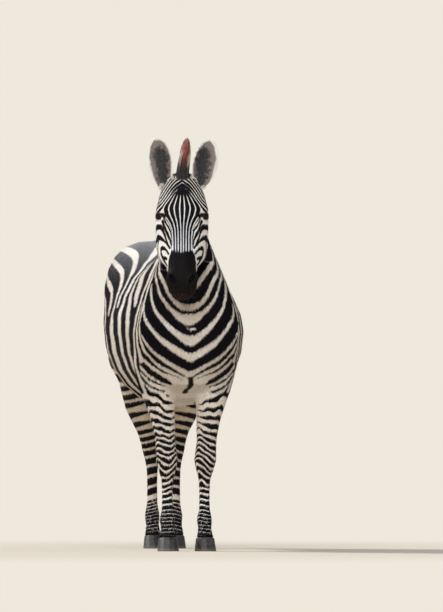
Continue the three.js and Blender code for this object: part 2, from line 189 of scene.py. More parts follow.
def short_hair():
    """Short glossy zebra hair over dark skin: cream to tan and brown-black, with ragged
    edges to the bands and a velvet-bare muzzle. Light is painted into the whites: a warm
    bounce on the throat, and a blue-grey skylight shade on the face, most on the nose."""
    material, add, place = new_material("short_zebra_hair")
    bands, shares, tone = (add("SeparateXYZ", [add("Attribute", attribute_name=name)["Vector"]])
                           for name in ("bands", "shares", "tone"))
    dark, tan, total = tone
    for band, share in zip(bands, shares):
        turn = add("Math", [band, 2 * math.pi], operation="MULTIPLY")[0]
        wave = add("Math", [turn], operation="SINE")[0]
        total = add("Math", [wave, share, total], operation="MULTIPLY_ADD")[0]
    fray = add("TexNoise", {"Vector": place, "Scale": per_metre(5), "Detail": 3.0, "Roughness": 0.6})[0]
    ragged = add("Math", [fray, 0.5], operation="SUBTRACT")[0]
    total = add("Math", [ragged, 0.40, total], operation="MULTIPLY_ADD")[0]
    black = add("MapRange", [total, -0.10, 0.14], interpolation_type="SMOOTHSTEP")[0]
    black = add("Math", [black, dark], operation="MAXIMUM")[0]

    # dust patches and the tan turn the white tan; the tan holds a painted warm bounce light on the throat
    dust = add("TexNoise", {"Vector": place, "Scale": per_metre(90), "Detail": 3.0})[0]
    dust_tan_and_painted_warmth = add("Math", [dust, 0.5, tan], operation="MULTIPLY_ADD")[0]
    dust_tan_and_painted_warmth = add("Math", [dust_tan_and_painted_warmth, 0.22], operation="SUBTRACT", use_clamp=True)[0]
    white = add("Mix", {0: dust_tan_and_painted_warmth, 6: linear("#F1ECE5"), 7: linear("#C4A883")}, data_type="RGBA")[2]
    # painted blue-grey skylight shade: where the tan is below 0, on the face and most on the nose
    cool = add("Math", [tan, -1.0], operation="MULTIPLY", use_clamp=True)[0]
    white = add("Mix", {0: cool, 6: white, 7: linear("#A9B8CE")}, data_type="RGBA")[2]
    # the black is browner where the tan is higher, the painted throat warmth included
    ink = add("Mix", {0: tan, 6: linear("#0E0D13"), 7: linear("#171213")}, data_type="RGBA")[2]
    colour = add("Mix", {0: black, 6: white, 7: ink}, data_type="RGBA")[2]
    velvet = add("TexNoise", {"Vector": place, "Scale": per_metre(12)})[0]
    muzzle = add("Mix", {0: velvet, 6: linear("#0A0809"), 7: linear("#151010")}, data_type="RGBA")[2]
    muzzle = add("Mix", {0: tan, 6: muzzle, 7: linear("#3A2418")}, data_type="RGBA")[2]
    colour = add("Mix", {0: dark, 6: colour, 7: muzzle}, data_type="RGBA")[2]

    strand = add("TexNoise", {"Vector": place, "Scale": per_metre(2.2), "Roughness": 0.7})[0]
    shade = add("MapRange", [strand, 0.25, 0.75, 0.72, 1.12], interpolation_type="SMOOTHSTEP")[0]
    shade = add("CombineXYZ", [shade, shade, shade])[0]
    colour = add("Mix", {0: 1.0, 6: colour, 7: shade}, data_type="RGBA", blend_type="MULTIPLY")[2]
    bump = add("Bump", {"Height": strand, "Strength": 0.35, "Distance": 0.0012})[0]
    rough = add("Math", [strand, 0.22, 0.46], operation="MULTIPLY_ADD")[0]

    # the sun's glare on the back: a brighter gloss and a pale veil over it
    _, y, height = add("SeparateXYZ", [place])
    high = add("MapRange", [height, 1.10, 1.32], interpolation_type="SMOOTHSTEP")[0]
    behind = add("MapRange", [y, -0.25, 0.10], interpolation_type="SMOOTHSTEP")[0]
    back = add("Math", [high, behind], operation="MULTIPLY")[0]
    gloss = add("Math", [back, 0.43, 0.07], operation="MULTIPLY_ADD")[0]
    top = add("MapRange", [height, 1.20, 1.33, 0.30, 1.0], interpolation_type="SMOOTHSTEP")[0]
    veil = add("Math", [back, top], operation="MULTIPLY")[0]
    hair = add("BsdfPrincipled", {
        "Base Color": colour, "Roughness": rough, "Specular IOR Level": gloss, "Sheen Weight": veil,
        "Sheen Roughness": 0.4, "Normal": bump})[0]
    add("OutputMaterial", {"Surface": hair})
    return material


def long_hair():
    """Coarse upright mane and tail hair: black and cream with rusty sun-bleached tips.
    `tone` holds how black it is, how rusty, and a lightness of its own."""
    material, add, place = new_material("coarse_mane_hair")
    black, rust, own = add("SeparateXYZ", [add("Attribute", attribute_name="tone")["Vector"]])
    cream = add("Mix", {0: own, 6: linear("#D9CDBB"), 7: linear("#F0EADF")}, data_type="RGBA")[2]
    colour = add("Mix", {0: black, 6: cream, 7: linear("#17120F")}, data_type="RGBA")[2]
    rusty = add("Mix", {0: own, 6: linear("#4C1E0E"), 7: linear("#A8481E")}, data_type="RGBA")[2]
    colour = add("Mix", {0: rust, 6: colour, 7: rusty}, data_type="RGBA")[2]
    strand = add("TexNoise", {"Vector": place, "Scale": per_metre(1.2), "Detail": 1.0})[0]
    bump = add("Bump", {"Height": strand, "Strength": 0.3, "Distance": 0.0006})[0]
    rough = add("Math", [strand, 0.2, 0.38], operation="MULTIPLY_ADD")[0]
    hair = add("BsdfPrincipled", {
        "Base Color": colour, "Roughness": rough, "Specular IOR Level": 0.35, "Sheen Weight": 0.1,
        "Normal": bump})[0]
    add("OutputMaterial", {"Surface": hair})
    return material


def ear_felt():
    """Short felted ear fur: grey-brown inside with soot-dark smudges, cream at the rim.
    `tone` holds how dark it is, how cream, and whether it is inside the cup."""
    material, add, place = new_material("felted_ear_fur")
    dark, cream, _ = add("SeparateXYZ", [add("Attribute", attribute_name="tone")["Vector"]])
    smudge = add("TexNoise", {"Vector": place, "Scale": per_metre(16), "Detail": 3.0, "Roughness": 0.6})[0]
    smudge = add("Math", [smudge, 0.5], operation="SUBTRACT")[0]
    dark = add("Math", [smudge, 1.5, dark], operation="MULTIPLY_ADD")[0]
    dark = add("MapRange", [dark, 0.26, 0.84], interpolation_type="SMOOTHSTEP")[0]
    strand = add("TexNoise", {"Vector": place, "Scale": per_metre(1.6), "Roughness": 0.7})[0]
    base = add("Mix", {0: strand, 6: linear("#6A5C54"), 7: linear("#A09186")}, data_type="RGBA")[2]
    colour = add("Mix", {0: dark, 6: base, 7: linear("#120E0D")}, data_type="RGBA")[2]
    colour = add("Mix", {0: cream, 6: colour, 7: linear("#F8F4EE")}, data_type="RGBA")[2]
    bump = add("Bump", {"Height": strand, "Strength": 0.4, "Distance": 0.001})[0]
    rough = add("Math", [strand, 0.2, 0.6], operation="MULTIPLY_ADD")[0]
    felt = add("BsdfPrincipled", {
        "Base Color": colour, "Roughness": rough, "Sheen Weight": 0.3, "Normal": bump,
        "Subsurface Weight": 0.15, "Subsurface Radius": [0.006, 0.003, 0.002],
        "Subsurface Scale": 0.5})[0]
    add("OutputMaterial", {"Surface": felt})
    return material


def hoof_horn():
    """Grey-black hoof horn: growth rings 4.2 mm apart round the wall, dust in the grooves."""
    material, add, place = new_material("ringed_hoof_horn")
    _, _, height = add("SeparateXYZ", [place])
    bend = add("TexNoise", {"Vector": place, "Scale": per_metre(40), "Detail": 1.0})[0]
    rings = add("Math", [bend, 0.004, height], operation="MULTIPLY_ADD")[0]
    rings = add("Math", [rings, 2 * math.pi / 0.0042], operation="MULTIPLY")[0]
    rings = add("Math", [rings], operation="SINE")[0]
    dust = add("TexNoise", {"Vector": place, "Scale": per_metre(9), "Detail": 3.0})[0]
    dusty = add("MapRange", [dust, 0.35, 0.75], interpolation_type="SMOOTHSTEP")[0]
    colour = add("Mix", {0: dusty, 6: linear("#1B1817"), 7: linear("#3F3934")}, data_type="RGBA")[2]
    low = add("MapRange", [height, 0.0, 0.018, 0.55, 0.0], interpolation_type="SMOOTHSTEP")[0]
    colour = add("Mix", {0: low, 6: colour, 7: linear("#6E6250")}, data_type="RGBA")[2]
    bump = add("Bump", {"Height": rings, "Strength": 0.25, "Distance": 0.0008})[0]
    rough = add("Math", [dust, 0.3, 0.35], operation="MULTIPLY_ADD")[0]
    horn = add("BsdfPrincipled", {"Base Color": colour, "Roughness": rough, "Normal": bump})[0]
    add("OutputMaterial", {"Surface": horn})
    return material


def wet_eye():
    """A wet dark brown eye with a level, oblong pupil. `gaze` is the place on the ball:
    along the lids, up, and forward out of the socket."""
    material, add, place = new_material("wet_brown_eye")
    along, up, _ = add("SeparateXYZ", [add("Attribute", attribute_name="gaze")["Vector"]])
    along_squared = add("Math", [along, along], operation="MULTIPLY")[0]
    squared = add("Math", [up, up, along_squared], operation="MULTIPLY_ADD")[0]
    reach = add("Math", [squared], operation="SQRT")[0]
    length = add("Math", [along], operation="ABSOLUTE")[0]
    length = add("Math", [length, 0.5], operation="MULTIPLY")[0]
    height = add("Math", [up], operation="ABSOLUTE")[0]
    oblong = add("Math", [length, height], operation="MAXIMUM")[0]
    pupil = add("MapRange", [oblong, 0.13, 0.20], interpolation_type="SMOOTHSTEP")[0]
    rim = add("MapRange", [reach, 0.66, 0.74], interpolation_type="SMOOTHSTEP")[0]
    streak = add("TexNoise", {"Vector": place, "Scale": per_metre(1.5)})[0]
    iris = add("Mix", {0: streak, 6: linear("#140A06"), 7: linear("#2C170B")}, data_type="RGBA")[2]
    colour = add("Mix", {0: pupil, 6: linear("#040303"), 7: iris}, data_type="RGBA")[2]
    colour = add("Mix", {0: rim, 6: colour, 7: linear("#1A1210")}, data_type="RGBA")[2]
    eye = add("BsdfPrincipled", {
        "Base Color": colour, "Roughness": 0.15, "Specular IOR Level": 0.12, "Coat Weight": 0.12,
        "Coat Roughness": 0.03})[0]
    add("OutputMaterial", {"Surface": eye})
    return material


HAIR, MANE_HAIR, EAR_FELT, HORN, WET = short_hair(), long_hair(), ear_felt(), hoof_horn(), wet_eye()


# ---- stripes ------------------------------------------------------------------------
def wander(points, size, seed):
    """A smooth field between about -1 and 1 that changes over `size` metres."""
    draw = np.random.default_rng(seed)
    total = np.zeros(len(points))
    for _ in range(6):
        direction = draw.normal(size=3)
        direction /= np.linalg.norm(direction)
        pitch = size * draw.uniform(0.7, 1.5)
        total += np.sin(points @ direction * 2 * math.pi / pitch + draw.uniform(0, 2 * math.pi))
    return total / 2.6


def band_phase(value, edges):
    """Counts bands: half a turn from each edge in the list to the next, black first and
    white outside. An edge may differ from point to point; values rise along the list."""
    before, after = (3 * edges[0] - edges[1]) / 2, (3 * edges[-1] - edges[-2]) / 2
    phase = -0.25 + 0.25 * np.clip((value - before) / (edges[0] - before), 0, 1)
    for low, high in zip(edges, edges[1:]):
        phase = phase + 0.5 * np.clip((value - low) / (high - low), 0, 1)
    return phase + 0.25 * np.clip((value - edges[-1]) / (after - edges[-1]), 0, 1)


# Neck and breast: collars. Each white one is given by the height of its middle at these
# turns round the neck from the front, and by its half width in front, at the front corner
# and at the side.
STATIONS = [0, 12, 25, 38, 50, 66, 80, 180]    # degrees
COLLARS = [
    ((0.500, 0.502, 0.505, 0.512, 0.520, 0.560, 0.60, 1.100), 0.010, 0.010, 0.010),
    ((0.545, 0.547, 0.550, 0.555, 0.560, 0.600, 0.65, 1.140), 0.012, 0.012, 0.012),
    ((0.590, 0.591, 0.592, 0.596, 0.600, 0.640, 0.70, 1.180), 0.012, 0.012, 0.012),
    ((0.640, 0.642, 0.645, 0.648, 0.650, 0.680, 0.75, 1.210), 0.012, 0.012, 0.011),
    ((0.690, 0.696, 0.705, 0.718, 0.730, 0.780, 0.83, 1.240), 0.012, 0.013, 0.013),
    ((0.710, 0.717, 0.728, 0.748, 0.770, 0.850, 0.91, 1.270), 0.004, 0.009, 0.011),
    ((0.735, 0.747, 0.766, 0.796, 0.830, 0.940, 1.01, 1.310), 0.011, 0.012, 0.011),
    ((0.802, 0.822, 0.850, 0.883, 0.943, 1.035, 1.10, 1.360), 0.017, 0.016, 0.011),
    ((0.871, 0.890, 0.932, 0.985, 1.062, 1.120, 1.16, 1.405), 0.022, 0.013, 0.009),
    ((0.960, 0.972, 1.014, 1.068, 1.125, 1.160, 1.20, 1.440), 0.024, 0.010, 0.005),
    ((1.012, 1.019, 1.060, 1.117, 1.160, 1.200, 1.24, 1.470), 0.013, 0.010, 0.008),
    ((1.085, 1.100, 1.130, 1.168, 1.205, 1.252, 1.29, 1.500), 0.012, 0.010, 0.008),
    ((1.140, 1.155, 1.190, 1.232, 1.270, 1.315, 1.35, 1.530), 0.011, 0.010, 0.010),
    ((1.200, 1.215, 1.250, 1.292, 1.330, 1.375, 1.41, 1.560), 0.011, 0.010, 0.010),
    ((1.260, 1.275, 1.310, 1.352, 1.390, 1.435, 1.47, 1.590), 0.011, 0.010, 0.010),
    ((1.320, 1.335, 1.370, 1.412, 1.450, 1.495, 1.52, 1.620), 0.011, 0.010, 0.010),
]


def turn_round_neck(points):
    """Degrees round the neck from the middle of its front, the same on both sides."""
    x, aft, z = in_body(points)
    middle_x = -0.014 * smoothstep(0.8, 1.0, z) - 0.031 * smoothstep(1.15, 1.4, z)
    axis = -0.055 - 0.10 * smoothstep(0.95, 1.35, z)
    return np.degrees(np.arctan2(np.abs(x - middle_x), axis - aft))


def collar_bands(points):
    turn = turn_round_neck(points)
    z = points[:, 2] + 0.005 * wander(points, 0.16, 11) * smoothstep(5, 40, turn)
    edges = []
    for heights, front, corner, flank in COLLARS:
        middle_z = sum(np.interp(np.abs(turn + d), STATIONS, heights) for d in (-4, 0, 4)) / 3
        half = 1.5 * MM + np.interp(turn, [2, 22, 45, 66, 100], [front, corner, flank, flank, flank * 1.6])
        low_edge = np.maximum(middle_z - half, edges[-1] + 0.003) if edges else middle_z - half
        edges += [low_edge, np.maximum(middle_z + half, low_edge + 0.003)]
    return 0.5 + band_phase(z, edges)


# Barrel and haunch. The bands hang straight on the barrel and arch back over the haunch to
# lie level on the thigh. `reach` says where each meets the belly, behind the forelegs.
HAUNCH_AFT, HAUNCH_LEVEL, ARCH_FLATNESS, ARCH_POWER = 1.057, 0.62, 0.77, 2.6
LOW_BLACKS = [(-0.230, -0.215), (-0.175, -0.158), (-0.132, -0.112), (-0.080, -0.052), (-0.020, 0.040),
              (0.078, 0.128), (0.170, 0.232), (0.300, 0.405), (0.450, 0.555), (0.590, 0.675),
              (0.705, 0.775), (0.802, 0.860), (0.885, 0.930), (0.955, 0.988), (1.012, 1.050),
              (1.067, 1.100)] + [(1.130 + 0.0478 * k, 1.158 + 0.0478 * k) for k in range(10)]
HIGH_BLACKS = [(-0.230, -0.200), (-0.170, -0.140), (-0.115, -0.062), (-0.036, -0.006), (0.028, 0.048),
               (0.075, 0.108), (0.145, 0.182), (0.218, 0.252), (0.283, 0.330), (0.365, 0.420),
               (0.450, 0.555), (0.590, 0.675), (0.705, 0.775), (0.802, 0.860), (0.885, 0.930)]
FETLOCK_REACH, FETLOCK_PITCH = 1.620, 15 * MM  # past that reach, fine rings take over
# Forelegs: heights between which the rings keep one spacing, and the rings above each.
RING_HEIGHTS = np.array([0, 0.17, 0.48, 0.60, 0.80])
RING_PITCHES = np.array([FETLOCK_PITCH, 24.5 * MM, 29 * MM, 34 * MM])
RING_COUNTS = np.append(np.cumsum((np.diff(RING_HEIGHTS) / RING_PITCHES)[::-1])[::-1], 0)


def reach_of(points):
    x, aft, z = in_body(points)
    ahead = np.maximum(HAUNCH_AFT - aft, 0)
    tilted = z - 0.25 * (0.17 - np.abs(x)) * smoothstep(0.80, 0.66, z) * smoothstep(0.5, 0.7, aft)
    above = (tilted - HAUNCH_LEVEL) / ARCH_FLATNESS
    arch = HAUNCH_AFT - (ahead ** ARCH_POWER + np.maximum(above, 0) ** ARCH_POWER) ** (1 / ARCH_POWER)
    level = HAUNCH_AFT - above
    on_leg = smoothstep(0.88, 0.70, z) * smoothstep(0.60, 0.78, aft)
    reach = arch * (1 - on_leg) + level * on_leg
    reach = np.where(z < HAUNCH_LEVEL, np.where(aft > 0.6, level, arch), reach)
    reach = aft + (reach - aft) * smoothstep(-0.16, 0.20, aft)
    return reach + 0.010 * wander(points, 0.30, 21) * smoothstep(0.1, 0.4, aft)


def barrel_bands(points):
    reach = reach_of(points)
    low = band_phase(reach, [e for pair in LOW_BLACKS for e in pair])
    rings = np.maximum(reach - FETLOCK_REACH, 0) * ARCH_FLATNESS / FETLOCK_PITCH
    high = band_phase(reach, [e for pair in HIGH_BLACKS for e in pair])
    return low + rings, high, reach


def leg_bands(points):
    """Rings round a foreleg: falling inwards at the elbow, sagging in front of the knee."""
    x, aft, z = in_body(points)
    out = np.abs(x) - 0.082
    slope = np.interp(z, [0.30, 0.42, 0.52, 0.58, 0.66, 0.72], [0.0, 0.0, 0.05, 0.15, 0.45, 0.60])
    lift = slope * out
    sag = np.interp(z, [0.10, 0.20, 0.34, 0.46, 0.54, 0.60], [0.05, 0.3, 0.9, 1.0, 0.5, 0.1])
    ahead = smoothstep(0.03, -0.03, aft)
    lift = lift + ahead * sag * np.where(x < 0, 16 * out ** 2, -0.85 * out + 4 * out ** 2)
    wobble = 0.006 * wander(points * [1, 1, 0.6], 0.09, 31) + 0.0035 * wander(points, 0.045, 32)
    wobble = wobble * (0.25 + 0.75 * smoothstep(0.12, 0.30, z))
    height = z - lift + wobble
    return np.interp(height, RING_HEIGHTS, RING_COUNTS)


# Face. A spindle of fine lines runs from the forehead to the nose, wide between the eyes.
SPINDLE_DOWN = [0.046, 0.060, 0.080, 0.106, 0.122, 0.138, 0.157, 0.172, 0.186, 0.203, 0.229, 0.262, 0.345]
SPINDLE_HALF = [0.006, 0.026, 0.043, 0.060, 0.072, 0.080, 0.075, 0.068, 0.059, 0.050, 0.041, 0.039, 0.038]
# Where the spindle's upper edge lies, from the middle outwards: beside the face, down it.
BROW_WIDE = [0, 0.006, 0.026, 0.043, 0.060, 0.072, 0.080, 0.100, 0.130, 0.200, 0.260]
BROW_DOWN = [0.036, 0.046, 0.060, 0.080, 0.106, 0.122, 0.138, 0.152, 0.165, 0.172, 0.178]
# Black strokes on the cheek: beside the face, down it, and half the width there, in mm.
CHEEK_STROKES = [
    [(79, 163, 1.6), (67, 178, 2.1), (54, 200, 2.1), (45, 222, 1.6), (41, 238, 1.2)],
    [(76, 173, 2.2), (66, 198, 3.2), (54, 221, 3.2), (48, 238, 2.9), (42, 262, 2.2), (41, 290, 1.4)],
    [(81, 184, 3.5), (73, 208, 4.4), (63, 234, 4.6), (55, 253, 4.4), (48, 273, 3.4), (45, 290, 2.2),
     (44, 306, 1.4)],
    [(200, 194, 9.0), (160, 194, 8.5), (125, 194, 9.5), (92, 202, 9.0), (82, 216, 6.2), (76, 230, 4.8),
     (70, 248, 4.4), (63, 269, 3.2), (56, 284, 2.0)],
    [(200, 233, 8.0), (138, 233, 9.5), (113, 242, 8.8), (89, 256, 6.4), (67, 273, 4.8), (56, 288, 4.2),
     (50, 303, 3.2)],
    [(55, 325, 3.8), (63, 310, 5.2), (81, 296, 6.6), (105, 286, 8.0), (127, 288, 8.4), (128, 304, 8.0),
     (121, 321, 7.6), (111, 337, 6.6), (98, 351, 5.6), (75, 368, 4.4)],
    [(114, 327, 6.0), (87, 334, 6.6), (69, 342, 5.4)],
    [(145, 243, 4.0), (168, 257, 4.4), (179, 277, 4.8), (179, 302, 4.8), (165, 325, 4.8), (145, 345, 4.6),
     (120, 360, 4.0), (95, 374, 3.2)],
]


def to_segment(across, along, start, end):
    """For each place, the share of the way from start to end at which the line between them
    comes nearest, and how far off that is."""
    (x0, y0), (x1, y1) = start, end
    t = ((across - x0) * (x1 - x0) + (along - y0) * (y1 - y0)) / ((x1 - x0) ** 2 + (y1 - y0) ** 2)
    t = np.clip(t, 0, 1)
    return t, np.hypot(across - x0 - t * (x1 - x0), along - y0 - t * (y1 - y0))


def stroke_depth(across, along, strokes):
    """How far inside the nearest stroke each place lies, in metres; less than 0 outside."""
    deepest = np.full(len(across), -1.0)
    for stroke in strokes:
        line = np.array(stroke) * MM
        for (*start, thick), (*end, thin) in zip(line, line[1:]):
            t, far = to_segment(across, along, start, end)
            deepest = np.maximum(deepest, thick + t * (thin - thick) - far)
    return deepest


def face_bands(points, side, down, out):
    """The face's three counts of bands; how far out each place lies, as a share of the
    spindle's half width and in metres round the cheek; how far above the spindle it is."""
    wide = np.abs(side) + np.maximum(-0.02 - out, 0) * smoothstep(0.03, 0.07, np.abs(side))
    half = sum(np.interp(down + d, SPINDLE_DOWN, SPINDLE_HALF) for d in (-0.006, 0, 0.006)) / 3
    share = wide / half
    inside = 3.45 * np.clip(share, 0, 1.5) + 0.30
    above = sum(np.interp(wide + d, BROW_WIDE, BROW_DOWN) for d in (-0.006, 0, 0.006)) / 3 - down
    pitch = np.interp(wide, [0, 0.05, 0.10, 0.16, 0.25], [0.021, 0.020, 0.020, 0.024, 0.030])
    spindle = np.where(above > 0, 3.75 + above / pitch, inside)
    shaken = 0.0012 * wander(points, 0.035, 52)
    strokes = 0.25 * np.clip(stroke_depth(wide + shaken, down, CHEEK_STROKES) / (10 * MM), -1, 1)
    below = down - 0.186 + 0.35 * np.maximum(wide - 0.19, 0) + 0.004 * wander(points, 0.12, 53)
    return (spindle, below / 0.039, strokes), share, wide, above


# The dark stroke down the breast: x and height of its points.
BREAST_STROKE = [(0.006, 0.722), (0.014, 0.694), (0.000, 0.676), (-0.012, 0.662)]


def darkness(points, wide, down, on_face):
    """1 on the muzzle, the corners of the eyes, the stroke down the breast and the feet."""
    x, aft, z = in_body(points)
    lips = np.interp(wide, [0, 0.015, 0.030, 0.044, 0.052, 0.060, 0.070, 0.085, 0.12, 0.2],
                     [0.331, 0.329, 0.320, 0.316, 0.335, 0.365, 0.400, 0.435, 0.47, 0.50])
    muzzle = smoothstep(-0.006, 0.006, down - lips + 0.004 * wander(points, 0.02, 54)) * on_face
    corner = np.hypot((wide - 0.080) / 0.015, (down - 0.161 + 0.5 * (wide - 0.080)) / 0.008)
    dark = np.maximum(muzzle, smoothstep(1.2, 0.85, corner) * on_face)
    far = np.min([to_segment(x, z, start, end)[1] for start, end in zip(BREAST_STROKE, BREAST_STROKE[1:])],
                 axis=0)
    stroke = smoothstep(0.011, 0.006, far + 0.003 * wander(points, 0.04, 41)) * (aft < -0.05)
    return np.maximum.reduce([dark, stroke, smoothstep(0.085, 0.055, z)])


def tan_and_painted_light_of(points, turn, face, wide, down, out):
    """How tan the white is, most on throat, belly and hind legs, the throat's extra tan being
    painted warm bounce light; less than 0 is a painted blue-grey skylight shade on the face.
    On the muzzle, how brown the lips are."""
    _, aft, z = in_body(points)
    tan = 0.16 + 0.12 * smoothstep(1.00, 0.80, z) + 0.05 * smoothstep(0.80, 0.45, z)
    tan = tan - 0.34 * smoothstep(0.34, 0.16, z)
    # painted warm bounce light: the whites on the front of the neck are made warmer
    tan = tan + 0.22 * smoothstep(55, 20, turn) * smoothstep(0.93, 1.0, z) * (aft < -0.1)
    # hind legs more tan; on the face the tan falls below 0, here and in the next line: a painted blue-grey
    # skylight shade, strongest down the nose
    tan = tan + 0.24 * smoothstep(0.3, 0.6, aft) * smoothstep(0.85, 0.60, z) - 0.25 * face
    tan = tan - 0.50 * face * smoothstep(0.062, 0.035, wide) * smoothstep(0.08, 0.22, down)
    lips = 0.55 * smoothstep(0.46, 0.53, down) * smoothstep(0.0, -0.05, out)
    return np.where((face > 0) & (down > 0.38), lips, tan)


def body_bias(points, turn):
    """White on the plain breast and its small patch, and where the bands taper away on the
    belly and inside the legs; darker low on the legs and on the croup."""
    x, aft, z = in_body(points)
    breast = np.clip(1.7 - 1.7 * np.hypot(x / 0.125, (z - 0.672) / 0.068), 0, 1)
    breast = breast * smoothstep(0.04, -0.04, aft)
    inwards = np.where(aft < 0.3, np.where(x < 0, 0.076, 0.084), 0.125) - np.abs(x)
    inner = np.clip(inwards / 0.034, 0, 1.4) * smoothstep(0.45, 0.54, z)
    inner = inner * smoothstep(0.72, 0.66, z) * (aft < 0.3)
    belly = np.clip(inwards / 0.085, 0, 1.3) * smoothstep(0.80, 0.66, z) * smoothstep(0.0, 0.15, aft)
    belly = belly * smoothstep(0.44, 0.56, z)
    patch = np.hypot((x - 0.004) / 0.018, (z - 0.923 - 0.25 * np.abs(x - 0.004)) / 0.005)
    patch = smoothstep(1.4, 0.6, patch + 0.3 * wander(points, 0.03, 42)) * (turn < 30) * (aft < -0.05)
    white = 1.6 * breast + 1.1 * inner + 1.1 * belly + 2.0 * patch
    legs = 0.40 * smoothstep(0.62, 0.42, z) + 0.45 * smoothstep(0.26, 0.12, z)
    return legs + 0.32 * smoothstep(1.05, 1.20, z) * smoothstep(0.2, 0.4, aft) - white


def face_bias(side, down, wide, cheek, above):
    """Heavy lines on the forehead, thinning down the nose; darker cheeks and jaw."""
    heavy = np.interp(down, [0.04, 0.17, 0.24, 0.30], [0.82, 0.80, 0.55, 0.22])
    lines = (1 - cheek) * np.where(above > 0, 0.60, heavy)
    jaw = smoothstep(0.197, 0.209, wide) * smoothstep(0.190, 0.210, down)
    cheeks = cheek * np.interp(wide, [0.070, 0.098], [0.02, 0.30])
    forehead = smoothstep(1.5, 0.4, np.hypot(side / 0.050, (down - 0.050) / 0.034))
    return lines + 2.0 * jaw + cheeks + 0.45 * forehead


def markings(points):
    """What the coat shows at each point: three counts of bands, how much each has to say,
    and (darkness, tan with painted warm bounce and blue-grey skylight shade, bias to black)."""
    _, aft, z = in_body(points)
    side, down, out = in_head(points)
    turn = turn_round_neck(points)
    low, high, reach = barrel_bands(points)
    on_body = [low, collar_bands(points), np.where(z > 0.85, high, leg_bands(points))]
    on_head, share, wide, above = face_bands(points, side, down, out)

    on_face = (out > head_edge(down) - 0.010) & (down > -0.015) & (down < 0.56) & (z > 0.95)
    face = on_face.astype(float)
    foreleg = smoothstep(0.70, 0.63, z) * smoothstep(0.35, 0.2, aft)
    start = -0.185 + 0.10 * smoothstep(0.86, 0.74, z) + 0.12 * smoothstep(1.10, 1.26, z)
    barrel = smoothstep(start, start + 0.05, aft) * (1 - foreleg)
    upper = smoothstep(0.95, 1.08, z + 0.03 * wander(points, 0.3, 22)) * smoothstep(0.55, 0.45, reach)
    cheek = smoothstep(1.0, 1.08, share) * smoothstep(0.003, -0.003, above)
    far = smoothstep(0.185, 0.200, wide) * cheek

    phases = np.stack([np.where(on_face, *pair) for pair in zip(on_head, on_body)], axis=1)
    rest = 1 - face
    shares = np.stack([
        face * (1 - cheek) + rest * barrel * (1 - upper),
        face * far + rest * (1 - barrel) * (1 - foreleg),
        face * (cheek - far) + rest * (barrel * upper + foreleg)], axis=1)
    bias = body_bias(points, turn) + face * face_bias(side, down, wide, cheek, above) + 0.10 * rest
    tone = [darkness(points, wide, down, on_face), tan_and_painted_light_of(points, turn, face, wide, down, out), bias]
    return phases, shares, np.stack(tone, axis=1)


def blackness(points):
    """What the bands come to: more than 0 is black, less is white."""
    phases, shares, tone = markings(points)
    return (shares * np.sin(2 * math.pi * phases)).sum(1) + tone[:, 2]


def mark(mesh, named):
    """Stores arrays of three values a point."""
    for name, rows in named.items():
        stored = mesh.attributes.new(name, "FLOAT_VECTOR", "POINT")
        stored.data.foreach_set("vector", rows.astype(np.float32).ravel())


# ---- skin ---------------------------------------------------------------------------
NOT_FLESH = ("eye_", "hoof_", "ear_", "mane", "tail_tuft")
FLESH = [name for name in sorted(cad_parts) if not name.startswith(NOT_FLESH)]
VOXEL = 9 * MM


def joined_copy(nodes, balls=()):
    """Merged copies of solid nodes and balls, as one mesh."""
    bm = bmesh.new()
    for node_name in nodes:
        bm.from_mesh(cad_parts[node_name].data)
    bmesh.ops.remove_doubles(bm, verts=bm.verts, dist=0.02 * MM)
    for centre, radius in balls:
        bmesh.ops.create_icosphere(bm, subdivisions=4, radius=radius, matrix=Matrix.Translation(centre))
    return mesh_from(bm, "joined")


def remeshed(mesh, voxel):
    """One closed shell around everything in the mesh."""
    obj = bpy.data.objects.new("remesh", mesh)
    bpy.context.scene.collection.objects.link(obj)
    shell = obj.modifiers.new("shell", "REMESH")
    shell.mode = "VOXEL"
    shell.voxel_size = voxel
    bpy.context.view_layer.update()
    out = bpy.data.meshes.new_from_object(obj.evaluated_get(bpy.context.evaluated_depsgraph_get()))
    bpy.data.objects.remove(obj)
    return out


def largest_shell(bm):
    """Keeps the largest connected shell."""
    seen, shells = set(), []
    for start in bm.verts:
        if start in seen:
            continue
        seen.add(start)
        shell, queue = [start], [start]
        while queue:
            for edge in queue.pop().link_edges:
                for vert in edge.verts:
                    if vert not in seen:
                        seen.add(vert)
                        shell.append(vert)
                        queue.append(vert)
        shells.append(shell)
    shells.sort(key=len)
    bmesh.ops.delete(bm, geom=[v for s in shells[:-1] for v in s], context="VERTS")


def refine(bm, wanted):
    """Halves the edges of the faces whose middle lies where `wanted` says."""
    centres = np.array([f.calc_center_median() for f in bm.faces])
    chosen = wanted(centres)
    edges = {e for f, yes in zip(bm.faces, chosen) if yes for e in f.edges}
    bmesh.ops.subdivide_edges(bm, edges=list(edges), cuts=1, use_grid_fill=True)


def smoothed(mesh, rounds, strength):
    """Evens out the surface without shrinking it. `strength` is 0 to 1 at each point."""
    edges, points = edges_of(mesh), points_of(mesh)
    count = np.bincount(edges.ravel(), minlength=len(points))[:, None]
    for step in range(2 * rounds):
        total = np.zeros_like(points)
        for axis in range(3):
            total[:, axis] = (
                np.bincount(edges[:, 0], points[edges[:, 1], axis], len(points))
                + np.bincount(edges[:, 1], points[edges[:, 0], axis], len(points)))
        pull = 0.6 if step % 2 == 0 else -0.62
        points += pull * strength[:, None] * (total / count - points)
    set_points(mesh, points)


# Forms under the skin of the head: side and down of the middle, how far it spreads
# sideways and down, and how much it swells (mm).
HEAD_FORMS = [
    (0.084, 0.118, 0.022, 0.012, 3.5),         # brow
    (0.062, 0.085, 0.016, 0.020, -3.5),        # hollow over the eye
    (0.078, 0.190, 0.016, 0.016, 2.5),         # cheekbone under the eye
    (0.066, 0.240, 0.010, 0.034, 2.5),         # its crest, running to the nose
    (0.050, 0.290, 0.012, 0.040, -2.5),        # hollow beside the nose
    (0.000, 0.300, 0.016, 0.060, -1.0),        # flat of the nose
    (0.048, 0.425, 0.016, 0.020, 3.0),         # wing of the nostril
]
